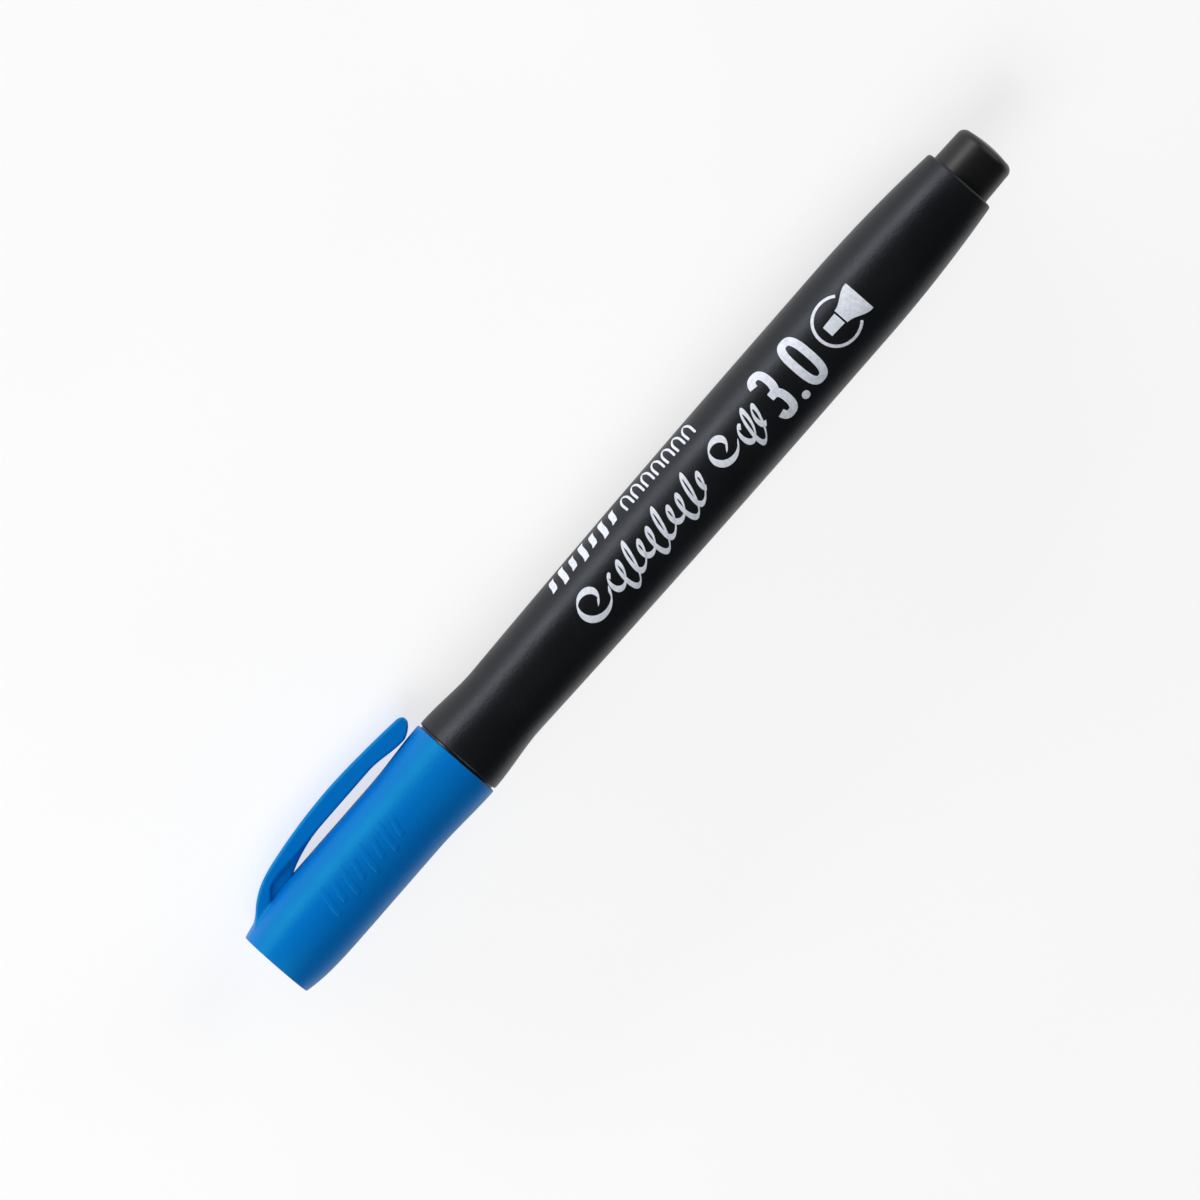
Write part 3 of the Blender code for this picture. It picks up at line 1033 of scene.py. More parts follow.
@dataclass
class Clip:
    """The cap's clip: a crowned bar on a narrower web, with a toe that bears on the cap near its mouth."""

    end: float
    cap_radius: Callable[[Array], Array]
    start: float = 2.64 * MM
    hidden_start: float = 4.0 * MM
    root_length: float = 8.0 * MM
    root_height: float = 9.08 * MM
    root_fullness: float = 3.0
    crown_at: float = 21.7 * MM
    crown_height: float = 9.85 * MM
    front_fullness: float = 1.6
    tip_height: float = 8.96 * MM
    tip_middle: float = 8.33 * MM
    tip_underside: float = 7.72 * MM
    tip_narrowing: float = 0.45
    nose_length: float = 0.85 * MM
    root_width: float = 4.6 * MM
    tip_width: float = 3.8 * MM
    edge: float = 0.5 * MM
    proud: float = 0.002 * MM
    root_sink: float = 0.5 * MM
    root_narrowing: float = 1.02 * MM
    root_vanish: float = 0.8 * MM
    underside: float = 7.36 * MM
    arch_front: float = 19.5 * MM
    arch_reach: float = 8.5 * MM
    arch_drop: float = 0.12 * MM
    emerge_at: float = 4.9 * MM
    emerge_length: float = 2.9 * MM
    emerge_depth: float = 1.55 * MM
    toe_at: float = 32.6 * MM
    toe_length: float = 6.0 * MM
    toe_clearance: float = 0.16 * MM
    web_inset: float = 0.62 * MM
    web_front: float = 17.9 * MM
    web_reach: float = 7.3 * MM
    web_drop: float = 1.2 * MM
    web_fullness: float = 2.2
    web_foot: float = 5.5 * MM
    web_fade: tuple[float, float] = (17.0 * MM, 18.5 * MM)
    lower_edge_fade: tuple[float, float] = (10.0 * MM, 13.0 * MM)
    flex_start: float = 9.6 * MM
    flex_end: float = 15.0 * MM

    def top(self, x: Array) -> Array:
        """The clip's outer edge: a full curve up the root, then a shallow arch over the crown to the tip.

        The root leaves the arch at the arch's own slope and falls below it as a power of the distance.

        Args:
            x: Places along the pen.

        Returns:
            The edge's distance from the pen's axis at each place.
        """
        root_end = self.start + self.root_length
        reach = self.crown_at - root_end
        slope = 2.0 * (self.crown_height - self.root_height) / reach
        fall = self.root_height - slope * self.root_length - self.cap_radius(np.array(self.start))
        gone = np.clip(root_end - x, 0.0, None)
        root = self.root_height - slope * gone - fall * (gone / self.root_length) ** self.root_fullness
        back = np.clip((self.crown_at - x) / reach, 0.0, None) ** 2
        rear = self.crown_height - (self.crown_height - self.root_height) * back
        ahead = np.clip((x - self.crown_at) / (self.end - self.crown_at), 0.0, 1.0) ** self.front_fullness
        front = self.crown_height - (self.crown_height - self.tip_height) * ahead
        return np.where(x < root_end, root, np.where(x < self.crown_at, rear, front))

    def under(self, x: Array) -> Array:
        """The lower edge of the bar's sides: out of the cap, level under the arch, and down to the toe.

        Past the toe it lifts again to the tip as a power of the distance.

        Args:
            x: Places along the pen.

        Returns:
            The edge's distance from the pen's axis at each place.
        """
        before_arch = np.clip((self.arch_front - x) / self.arch_reach, 0.0, None)
        arch = self.underside - self.arch_drop * before_arch**2
        out_of_cap = self.emerge_depth * (1.0 - smooth((x - self.emerge_at) / self.emerge_length))
        toe_height = self.cap_radius(np.array(self.toe_at)) + self.toe_clearance
        toe = smooth((x - (self.toe_at - self.toe_length)) / self.toe_length) * (self.underside - toe_height)
        past_toe = np.clip((x - self.toe_at) / (self.end - self.toe_at), 0.0, 1.0)
        return arch - out_of_cap - toe + past_toe**self.front_fullness * (self.tip_underside - toe_height)

    def web_depth(self, x: Array) -> Array:
        """How far the web under the bar reaches down: into the cap's wall, then melting away.

        Args:
            x: Places along the pen.

        Returns:
            The web's depth below the bar's lower edge at each place.
        """
        before_melt = np.clip((self.web_front - x) / self.web_reach, 0.0, None)
        melt = self.underside - self.web_drop * before_melt**self.web_fullness
        depth = np.maximum(self.under(x) - np.maximum(melt, self.web_foot), 0.0)
        start, stop = self.web_fade
        return depth * (1.0 - smooth((x - start) / (stop - start)))

    def half_width(self, x: Array) -> Array:
        """Half the bar's width, narrowing evenly to the tip."""
        share = (x - self.start) / (self.end - self.start)
        return (self.root_width + (self.tip_width - self.root_width) * share) / 2

    def root_radius(self, x: Array, angle: Array, fade_start: float, fade_end: float) -> Array:
        """Distance from the pen's axis to the root's rounded section, along each angle from the clip.

        The section is a bar with rounded top edges: a ray meets its flat top, its flat side, or the arc
        between them. Past fade_start the section sinks and narrows, because the bar itself takes over.

        Args:
            x: A column of places along the pen.
            angle: A row of angles from the clip's side.
            fade_start: Where the section starts to sink.
            fade_end: Where it has sunk by root_sink, and starts to vanish.

        Returns:
            The distances, by place and angle.
        """
        fade = np.clip((x - fade_start) / (fade_end - fade_start), 0.0, 1.0) ** 4
        top = self.top(x) + self.proud - self.root_sink * fade
        half = self.half_width(x) + self.proud - self.root_narrowing * fade
        edge = np.minimum(self.edge, 0.45 * half)
        across, along = np.abs(np.sin(angle)), np.cos(angle)
        flat_top = top / np.maximum(along, 1e-6)
        flat_side = half / np.maximum(across, 1e-6)
        projected = (top - edge) * along + (half - edge) * across
        squared = (top - edge) ** 2 + (half - edge) ** 2
        arc = projected + np.sqrt(np.maximum(projected**2 - squared + edge**2, 0.0))
        on_top = flat_top * across <= half - edge
        on_side = flat_side * along <= top - edge
        reach = np.where(on_top, flat_top, np.where(on_side, flat_side, arc))
        vanished = smooth((x - fade_end) / self.root_vanish)
        return np.where(along > 0.0, reach, 0.0) * (1.0 - vanished)

    def grid(self) -> Array:
        """The bar as sections across the pen, from inside the root to the tip.

        Each section is a flat-topped bar with rounded edges, and an underside with a web in its middle that
        melts away past the root. Rows crowd at the tip, where the section closes as a quarter ellipse.

        Returns:
            A grid of points: one row per place along the pen, one column per place round it.
        """
        body = np.linspace(self.hidden_start, self.end - self.nose_length, 120)[:-1]
        turn = np.linspace(0.0, math.pi / 2, 18)
        x = np.concatenate([body, self.end - self.nose_length * (1.0 - np.sin(turn))])[:, None]
        closing = np.concatenate([np.ones(len(body)), np.cos(turn)])[:, None]
        top, under = self.top(x), self.under(x)
        top = self.tip_middle + (top - self.tip_middle) * closing
        closed_under = self.tip_middle - (self.tip_middle - under) * closing ** (1 / 3)
        under = np.where(closing < 1.0, closed_under, under)
        half = self.half_width(x) * (1.0 - self.tip_narrowing * (1.0 - closing**0.6))
        web = self.web_depth(x) * closing
        edge = np.minimum(self.edge, (top - under) * 0.3)
        start, stop = self.lower_edge_fade
        lower = edge * (0.6 + 0.3 * (1.0 - smooth((x - start) / (stop - start))))
        arc = np.linspace(0.0, math.pi / 2, 8)[None, :]
        down = np.linspace(0.0, 1.0, 10)[None, 1:-1]
        flat = np.linspace(-1.0, 1.0, 22)[None, 1:-1]
        belly = np.linspace(1.0, -1.0, 48)[None, 1:-1]
        upper_z, upper_y = half - edge + edge * np.sin(arc), top - edge + edge * np.cos(arc)
        side_y = top - edge + (under + lower - top + edge) * down
        side_z = np.repeat(half, down.shape[1], axis=1)
        lower_z, lower_y = half - lower + lower * np.cos(arc), under + lower - lower * np.sin(arc)
        under_z = (half - lower) * belly
        from_side = half - np.abs(under_z)
        under_y = under - web * smooth((from_side - 0.5 * self.web_inset) / self.web_inset)
        right_z = np.concatenate([upper_z, side_z, lower_z], axis=1)
        right_y = np.concatenate([upper_y, side_y, lower_y], axis=1)
        top_y = np.repeat(top, flat.shape[1], axis=1)
        z = np.concatenate([(half - edge) * flat, right_z, under_z, -right_z[:, ::-1]], axis=1)
        y = np.concatenate([top_y, right_y, under_y, right_y[:, ::-1]], axis=1)
        sections = np.stack([np.repeat(x, z.shape[1], axis=1), y, z], axis=-1)
        return np.concatenate([sections[:1], sections])

    def build(self, maker: PieceMaker, skin: bpy.types.Material) -> None:
        """Makes the bar and hides the CAD clip.

        Args:
            maker: Puts the solids into objects.
            skin: The cap's finish.
        """
        bar = maker.make("clip_bar", [Surface.closed(self.grid(), Closure.POLES)], skin, 60.0)
        maker.pen.vector(self.flex_start, self.root_height, 0.0)
        maker.pen.vector(self.flex_end, self.root_height, 0.0)
        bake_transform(bar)
        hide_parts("clip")
        LOG.info("%s bends between cap and clip: %d faces", bar.name, len(bar.data.polygons))


@dataclass
class WritingEnd:
    """What the cap covers: the holder with its nose, land and neck, and the chisel nib."""

    holder: Span
    nib: Span
    nose_length: float = 3.8 * MM
    nose_radius: float = 2.9 * MM
    land_length: float = 3.6 * MM
    land_radius: float = 3.45 * MM
    neck_length: float = 6.2 * MM
    neck_radius: float = 5.21 * MM
    insert_length: float = 12.0 * MM
    insert_radius: float = 4.38 * MM
    seam: float = 0.3 * MM
    shoulder_front: float = 0.05 * MM
    shoulder_rear: float = 0.28 * MM
    shoulder_radius: float = 5.98 * MM
    rim: float = 0.5 * MM
    bead_height: float = 0.1 * MM
    bead_half_length: float = 0.6 * MM
    nib_width: float = 3.0 * MM
    nib_thickness: float = 1.9 * MM
    nib_edge_thickness: float = 0.42 * MM
    nib_edge_rounding: float = 0.25 * MM
    nib_chisel: float = 2.6 * MM
    nib_slant: float = math.radians(12.0)
    nib_lean_length: float = 4.95 * MM
    nib_squareness: float = 7.0
    socket_depth: float = 2.5 * MM
    socket_gap: float = 0.05 * MM
    socket_squareness: float = 8.0

    def holder_outline(self) -> Array:
        """The holder's section outside, from the nose's rim to its rear end.

        The thin shoulder behind the neck fills the seam between the cap and the barrel.

        Returns:
            The outline, as an array of (x, radius) rows.
        """
        front, rear, rim = self.holder.front, self.holder.rear, self.rim
        nose, land, neck = self.nose_radius, self.land_radius, self.neck_radius
        land_front = front + self.nose_length
        land_rear = land_front + self.land_length
        neck_rear = rear - self.insert_length - self.seam
        neck_front = neck_rear - self.neck_length
        bead = (neck_front + neck_rear) / 2
        bead_front, bead_rear = bead - self.bead_half_length, bead + self.bead_half_length
        slope_front = land_front - 2 * (land - nose)
        shoulder_front, shoulder_rear = neck_rear + self.shoulder_front, neck_rear + self.shoulder_rear
        shoulder, insert = self.shoulder_radius, self.insert_radius
        return outline(
            corner((front + rim, nose - rim), rim, 180.0, 90.0, 8),
            straight((front + rim, nose), (slope_front, nose), 6),
            eased((slope_front, nose), (land_front, land), 10),
            straight((land_front, land), (land_rear, land), 8),
            eased((land_rear, land), (neck_front, neck), 24),
            straight((neck_front, neck), (bead_front, neck), 6),
            eased((bead_front, neck), (bead, neck + self.bead_height), 6),
            eased((bead, neck + self.bead_height), (bead_rear, neck), 6),
            straight((bead_rear, neck), (neck_rear, neck), 6),
            straight((shoulder_front, neck), (shoulder_front, shoulder), 5),
            straight((shoulder_rear, shoulder), (shoulder_rear, insert), 7),
            straight((neck_rear + self.seam, insert), (rear, insert), 12),
        )

    def holder_grid(self) -> Array:
        """The holder as rows round the axis, with the nib's socket let into its nose.

        The outside is turned. The front face closes in from the round rim to the socket's mouth, and the
        socket runs back to its bottom. The socket is a superellipse: along each angle its radius is
        (|cos a / half width|^p + |sin a / half thickness|^p)^(-1/p).

        Returns:
            A grid of points: one row per place along the pen, one column per place round it.
        """
        skin = turned(self.holder_outline(), 128)
        angle = np.linspace(0.0, FULL_TURN, 128, endpoint=False)
        half_y = self.nib_width / 2 + self.socket_gap
        half_z = self.nib_thickness / 2 + self.socket_gap
        power = self.socket_squareness
        sides = np.abs(np.cos(angle) / half_y) ** power + np.abs(np.sin(angle) / half_z) ** power
        rim = self.nose_radius - self.rim
        closing = np.concatenate([np.linspace(0.0, 1.0, 8)[1:], np.ones(4)])[::-1, None]
        depth = np.concatenate([np.zeros(7), (0.06, 0.3, 0.7, 1.0)])[::-1, None] * self.socket_depth
        radius = rim + (sides ** (-1 / power) - rim) * closing
        x = np.broadcast_to(self.holder.front + depth, radius.shape)
        face = np.stack([x, radius * np.cos(angle), radius * np.sin(angle)], axis=-1)
        ends = np.zeros((2, 1, len(angle), 3))
        ends[0, ..., 0] = self.holder.front + self.socket_depth
        ends[1, ..., 0] = self.holder.rear
        return np.concatenate([ends[0], face, skin, ends[1]])

    def nib_grid(self) -> Array:
        """The nib as superellipse sections along x, thinned and slanted towards its writing edge.

        Returns:
            A grid of points: one row per place along the pen, one column per place round it.
        """
        front, rear = self.nib.front, self.nib.rear
        chisel = front + self.nib_chisel * np.linspace(0.0, 1.0, 30) ** 1.3
        run = np.concatenate([chisel, np.linspace(front + self.nib_chisel, rear, 40)[1:]])[:, None]
        share = np.clip((run - front) / self.nib_chisel, 0.0, 1.0)
        thickness = self.nib_edge_thickness + (self.nib_thickness - self.nib_edge_thickness) * share
        thickness *= 0.55 + 0.45 * smooth((run - front) / self.nib_edge_rounding)
        angle = np.linspace(0.0, FULL_TURN, 96, endpoint=False)[None, :]
        bend = 2.0 / self.nib_squareness
        y = np.repeat(self.nib_width / 2 * signed_power(np.cos(angle), bend), len(run), axis=0)
        z = thickness / 2 * signed_power(np.sin(angle), bend)
        fading = 1.0 - smooth((run - front) / self.nib_lean_length)
        lean = (y + self.nib_width / 2) * math.tan(self.nib_slant) * fading
        sections = np.stack([run + lean, y, z], axis=-1)
        return np.concatenate([sections[:1], sections, sections[-1:]])

    def build(self, maker: PieceMaker, skin: bpy.types.Material, fibre: bpy.types.Material) -> None:
        """Makes the holder and the nib.

        Args:
            maker: Puts the solids into objects.
            skin: The holder's finish.
            fibre: The nib's finish.
        """
        holder = Surface.closed(self.holder_grid(), Closure.POLES)
        settle(maker.make("front_section", [holder], skin), "barrel", "holder_black", "nib_holder")
        nib = Surface.closed(self.nib_grid(), Closure.POLES)
        settle(maker.make("chisel_nib", [nib], fibre), "barrel", "nib_fibre", "nib")


# Marks --------------------------------------------------------------------------------------------------


@dataclass(frozen=True)
class BroadPen:
    """The pen that a mark is drawn with: an ellipse as wide and thick as the nib, held at one angle."""

    width: float
    thickness: float
    degrees: float = 0.0

    def reach(self, tangent: Array) -> Array:
        """From a path's middle to the stroke's left edge, for each unit tangent.

        The edge is where the ellipse touches a line along the path: (w^2 (n.a) a + h^2 (n.b) b) / s, with n
        the normal, a and b the ellipse's own directions, and s the support sqrt((w n.a)^2 + (h n.b)^2).

        Args:
            tangent: Unit tangents, one a row.

        Returns:
            The reaches, one a row.
        """
        turn = math.radians(self.degrees)
        a = np.array([math.cos(turn), math.sin(turn)])
        b = np.array([-math.sin(turn), math.cos(turn)])
        normal = np.column_stack([-tangent[:, 1], tangent[:, 0]])
        w, h = self.width / 2, self.thickness / 2
        along, over = normal @ a, normal @ b
        support = np.sqrt((w * along) ** 2 + (h * over) ** 2)
        return (w**2 * along[:, None] * a + h**2 * over[:, None] * b) / support[:, None]


@dataclass(frozen=True)
class Mark:
    """One stroke on a round surface: its path on the unrolled surface and the reach to its left edge."""

    path: Array
    reach: Array
    loop: bool = False

    @classmethod
    def drawn(cls, path: Array, pen: BroadPen, loop: bool = False) -> Mark:
        """A stroke drawn along a path with a pen.

        Args:
            path: The path's points, one a row.
            pen: The pen.
            loop: Whether the path's end meets its start.

        Returns:
            The stroke.
        """
        step = np.roll(path, -1, axis=0) - np.roll(path, 1, axis=0) if loop else np.gradient(path, axis=0)
        tangent = step / np.linalg.norm(step, axis=1, keepdims=True)
        return cls(path, pen.reach(tangent), loop)

    @classmethod
    def straight_bar(cls, start: float, end: float, half_widths: Array) -> Mark:
        """A bar along the pen, as wide at each of its places as half_widths says.

        Args:
            start: Where it starts along the pen.
            end: Where it ends.
            half_widths: Half its width at even steps from start to end.

        Returns:
            The bar.
        """
        still = np.zeros_like(half_widths)
        run = np.linspace(start, end, len(half_widths))
        return cls(np.column_stack([run, still]), np.column_stack([still, half_widths]))

    @classmethod
    def dot(cls, middle: tuple[float, float], radius: float, count: int = 18) -> Mark:
        """A round dot, as a bar whose width follows a circle.

        Args:
            middle: Its place along the pen and round it.
            radius: Its radius.
            count: How many points its path gets.

        Returns:
            The dot.
        """
        turn = np.linspace(0.0, math.pi, count + 2)[1:-1]
        path = np.column_stack([middle[0] - radius * np.cos(turn), np.full(count, middle[1])])
        return cls(path, np.column_stack([np.zeros(count), radius * np.sin(turn)]))

    def solid(
        self, radius: Callable[[Array], Array], height: float, depth: float, ribs: int, rounding: float = 0.0
    ) -> Surface:
        """The stroke as a thin closed solid that stands on a round surface and is sunk a little into it.

        An open stroke starts blunt, and over its last step it closes to the middle of its end.

        Args:
            radius: The surface's radius at each x.
            height: How far the top stands out.
            depth: How far the foot is sunk.
            ribs: Points across the stroke.
            rounding: How much of the height the top loses towards its edges.

        Returns:
            The solid.
        """
        across = np.linspace(-1.0, 1.0, ribs)
        flat = self.path[:, None, :] + across[None, :, None] * self.reach[:, None, :]
        x, arc = flat[..., 0], flat[..., 1]
        surface = radius(x)
        turn = arc / surface
        top = surface + height * (1.0 - rounding * across[None, :] ** 4)
        foot = surface - depth
        over = np.stack([x, top * np.sin(turn), top * np.cos(turn)], axis=-1)
        below = np.stack([x, foot * np.sin(turn), foot * np.cos(turn)], axis=-1)
        grid = np.concatenate([over, below[:, ::-1]], axis=1)
        if self.loop:
            return Surface.closed(grid, Closure.RING)
        return Surface.closed(np.concatenate([grid[:1], grid]), Closure.POLES)


def curve_through(points: Sequence[tuple[float, float]], count: int) -> Array:
    """A smooth curve through a few points given in millimetres.

    It is a Catmull-Rom spline: between two points it is the cubic set by them and their neighbours.

    Args:
        points: The points, as pairs of x and y.
        count: How many points the curve gets.

    Returns:
        The curve's points in metres, one a row.
    """
    knots = np.array(points) * MM
    padded = np.concatenate([2 * knots[:1] - knots[1:2], knots, 2 * knots[-1:] - knots[-2:-1]])
    t = np.linspace(0.0, len(knots) - 1.0, count)
    i = np.minimum(t.astype(int), len(knots) - 2)
    f = (t - i)[:, None]
    a, b, c, d = (padded[i + k] for k in range(4))
    return 0.5 * (2 * b + (c - a) * f + (2 * a - 5 * b + 4 * c - d) * f**2 + (3 * b - a - 3 * c + d) * f**3)


@dataclass(frozen=True)
class Spiral:
    """An opening spiral: its radius eases from inner to outer as it turns between two angles in degrees."""

    middle: tuple[float, float]
    inner: float
    outer: float
    start: float
    stop: float
    stretch: float = 1.05
    quickness: float = 1.25

    def path(self) -> Array:
        """The spiral's middle line, with x stretched a little along the pen.

        Returns:
            The line's points, one a row.
        """
        t = np.linspace(0.0, 1.0, 150)
        turn = np.radians(self.start + (self.stop - self.start) * t)
        radius = self.inner + (self.outer - self.inner) * smooth(self.quickness * t)
        x = self.middle[0] + self.stretch * radius * np.cos(turn)
        return np.column_stack([x, self.middle[1] + radius * np.sin(turn)])


@dataclass(frozen=True)
class LoopChain:
    """A chain of leaning loops: a cycloid sheared by a share of its height.

    Near each swell, which is a share of the way along, a bell curve makes the loops about two and a half
    times as tall.
    """

    start: float
    end: float
    count: float
    tall: float
    swells: tuple[float, ...]
    phase: float = 0.9
    swell_gain: float = 1.45
    swell_loops: float = 0.62
    hang: float = 0.55 * MM
    swell_hang: float = 0.1 * MM
    roundness: float = 0.62
    lean: float = 0.3

    def path(self) -> Array:
        """The chain's middle line.

        Returns:
            The line's points, one a row.
        """
        t = np.linspace(0.0, 1.0, int(90 * self.count))
        turn = FULL_TURN * self.count * t + self.phase
        loops_away = [(t - place) * self.count / self.swell_loops for place in self.swells]
        swell = self.swell_gain * sum(np.exp(-(away**2)) for away in loops_away)
        height = self.tall * (1.0 + swell) * np.sin(turn) - self.hang - self.swell_hang * swell
        wide = self.roundness * self.tall
        run = self.start + wide + (self.end - self.start - 2.0 * wide) * t + wide * np.cos(turn)
        return np.column_stack([run + self.lean * height, height])


@dataclass
class BarrelPrint:
    """The print along the barrel: abstract flourishes, the nib's width in figures, and a nib sign.

    Heights are measured round the barrel from the middle of the printed side towards the clip. Each mark
    stands a hair higher than the one before it, so that no two tops share a surface.
    """

    barrel: Barrel
    film: float = 0.018 * MM
    group_step: float = 0.001 * MM
    mark_step: float = 0.0004 * MM
    sunk: float = 0.05 * MM
    flourish_from: float = 59.2 * MM
    spiral_pen: BroadPen = BroadPen(0.96 * MM, 0.2 * MM, 48.0)
    chain_pen: BroadPen = BroadPen(0.82 * MM, 0.19 * MM, 48.0)
    spirals: tuple[Spiral, ...] = (
        Spiral((2.95 * MM, 0.1 * MM), inner=0.75 * MM, outer=2.45 * MM, start=-75.0, stop=350.0),
        Spiral((28.7 * MM, 0.5 * MM), inner=0.6 * MM, outer=2.1 * MM, start=-75.0, stop=335.0),
    )
    chains: tuple[LoopChain, ...] = (
        LoopChain(5.5 * MM, 25.2 * MM, count=9.5, tall=1.2 * MM, swells=(0.2, 0.52, 0.84)),
        LoopChain(31.0 * MM, 36.2 * MM, count=2.6, tall=1.15 * MM, swells=(0.55,)),
    )
    figures_from: float = 95.65 * MM
    figure_height: float = 7.95 * MM
    figure_stroke: float = 1.14 * MM
    three_width: float = 3.2 * MM
    nought_width: float = 3.6 * MM
    nought_from: float = 5.65 * MM
    point_at: float = 4.5 * MM
    point_radius: float = 0.6 * MM
    sign_centre: float = 109.85 * MM
    sign_radius: float = 3.25 * MM
    sign_opening: float = 46.0
    ring_pen: BroadPen = BroadPen(0.42 * MM, 0.42 * MM)
    nib_span: tuple[float, float] = (-1.85 * MM, 0.55 * MM)
    nib_half_width: float = 0.8 * MM
    nib_widening: float = 0.1 * MM
    holder_span: tuple[float, float] = (0.78 * MM, 4.5 * MM)
    holder_half_width: float = 1.12 * MM
    holder_widening: float = 1.3 * MM
    row_middle: float = 6.25 * MM
    bold_pen: BroadPen = BroadPen(0.95 * MM, 0.3 * MM, 12.0)
    bold_from: float = 60.1 * MM
    bold_pitch: float = 1.95 * MM
    bold_scales: tuple[float, float] = (1.25, 1.75)
    fine_pen: BroadPen = BroadPen(0.36 * MM, 0.26 * MM, 20.0)
    fine_from: float = 73.9 * MM
    fine_pitch: float = 2.0 * MM
    row_count: int = 7

    def flourish(self) -> list[Mark]:
        """Practice flourishes: two spirals, and after each a chain of leaning loops of uneven size.

        Returns:
            The marks, in the order in which they are raised.
        """
        start = (self.flourish_from, 0.0)
        spirals = [Mark.drawn(spiral.path() + start, self.spiral_pen) for spiral in self.spirals]
        return spirals + [Mark.drawn(chain.path() + start, self.chain_pen) for chain in self.chains]

    def figures(self) -> list[Mark]:
        """The nib's width in millimetres, 3.0, in plain upright figures of one stroke width.

        The nought is a tall superellipse, the point a dot, and the three is two stacked bowls with a joint.

        Returns:
            The marks, in the order in which they are raised.
        """
        pen = BroadPen(self.figure_stroke, self.figure_stroke)
        half_height = (self.figure_height - self.figure_stroke) / 2
        half_nought = (self.nought_width - self.figure_stroke) / 2
        half_three = (self.three_width - self.figure_stroke) / 2
        turn = np.linspace(0.0, FULL_TURN, 120, endpoint=False)
        nought_middle = self.figures_from + self.nought_from + self.nought_width / 2
        nought_x = nought_middle + half_nought * signed_power(np.cos(turn), 0.72)
        nought = np.column_stack([nought_x, half_height * signed_power(np.sin(turn), 0.72)])
        middle = self.figures_from + self.three_width / 2
        turn = np.radians(np.linspace(160.0, -90.0, 60))
        bowl_x = middle + half_three * signed_power(np.cos(turn), 0.75)
        bowl = np.column_stack([bowl_x, half_height / 2 * (1.0 + signed_power(np.sin(turn), 0.85))])
        joint = straight((middle + 0.2 * half_three, 0.0), (middle - 0.5 * half_three, 0.0), 8)
        point_middle = (self.figures_from + self.point_at, self.point_radius - self.figure_height / 2)
        three = [Mark.drawn(path, pen) for path in (bowl, bowl * (1.0, -1.0), joint)]
        return [Mark.drawn(nought, pen, loop=True), Mark.dot(point_middle, self.point_radius), *three]

    def sign(self) -> list[Mark]:
        """A plain sign for a broad nib: most of a ring, with a nib and its widening holder coming out of it.

        Returns:
            The marks, in the order in which they are raised.
        """
        turn = np.radians(np.linspace(self.sign_opening, 360.0 - self.sign_opening, 110))
        ring = self.sign_radius * np.column_stack([np.cos(turn), np.sin(turn)]) + (self.sign_centre, 0.0)
        t = np.linspace(0.0, 1.0, 40)
        nib = self.nib_half_width + self.nib_widening * t
        holder = self.holder_half_width + self.holder_widening * smooth(t * 1.1)
        bars = [
            Mark.straight_bar(self.sign_centre + start, self.sign_centre + end, half)
            for (start, end), half in ((self.nib_span, nib), (self.holder_span, holder))
        ]
        return [Mark.drawn(ring, self.ring_pen), *bars]

    def row(self) -> list[Mark]:
        """A border of pen strokes near the clip's side: bold leaning strokes, then a run of fine arches.

        Returns:
            The marks, in the order in which they are raised.
        """
        leaning = curve_through([(-0.2, -1.0), (0.05, -0.5), (0.2, 0.5), (0.45, 1.0)], 30)
        arch = curve_through([(0.0, -1.5), (0.05, 0.3), (0.65, 1.35), (1.25, 0.4), (1.3, -1.5)], 60)
        marks = []
        for i in range(self.row_count):
            middle = (self.bold_from + self.bold_pitch * i, self.row_middle)
            marks.append(Mark.drawn(leaning * (1.0, self.bold_scales[i % 2]) + middle, self.bold_pen))
        for i in range(self.row_count):
            middle = (self.fine_from + self.fine_pitch * i, self.row_middle)
            marks.append(Mark.drawn(arch + middle, self.fine_pen))
        return marks

    def build(self, maker: PieceMaker, ink: bpy.types.Material) -> None:
        """Makes each group of marks as one piece.

        Args:
            maker: Puts the solids into objects.
            ink: The finish of the print.
        """
        groups = (
            ("print_flourish", self.flourish(), 9),
            ("print_nib_width", self.figures(), 11),
            ("print_nib_sign", self.sign(), 25),
            ("print_stroke_row", self.row(), 7),
        )
        for place, (name, marks, ribs) in enumerate(groups):
            film = self.film + self.group_step * place
            solids = [
                mark.solid(self.barrel.outer_radius, film + self.mark_step * i, self.sunk, ribs)
                for i, mark in enumerate(marks)
            ]
            settle(maker.make(name, solids, ink), "barrel", "barrel_black")


@dataclass
class CapRelief:
    """The low raised ornament on the cap: a row of leaning leaves, moulded with the shell."""

    cap: Cap
    start: float = 10.5 * MM
    pitch: float = 1.86 * MM
    count: int = 8
    aside: float = 0.1 * MM
    scales: tuple[float, float] = (2.1, 1.35)
    height: float = 0.075 * MM
    sunk: float = 0.08 * MM
    rounding: float = 0.9
    pen: BroadPen = BroadPen(0.98 * MM, 0.4 * MM, 15.0)

    def build(self, maker: PieceMaker, skin: bpy.types.Material) -> None:
        """Makes the relief as one piece of closed strokes, tall and short by turns.

        Args:
            maker: Puts the solids into objects.
            skin: The cap's finish.
        """
        leaf = curve_through([(0.0, -1.0), (0.12, -0.4), (0.5, 0.4), (0.62, 1.0)], 60)
        solids = []
        for i in range(self.count):
            path = leaf * (1.0, self.scales[i % 2]) + (self.start + self.pitch * i, self.aside)
            mark = Mark.drawn(path, self.pen)
            solids.append(mark.solid(self.cap.outer_radius, self.height, self.sunk, 13, self.rounding))
        settle(maker.make("cap_relief", solids, skin, 80.0), "cap", "cap_blue")


# Studio -------------------------------------------------------------------------------------------------


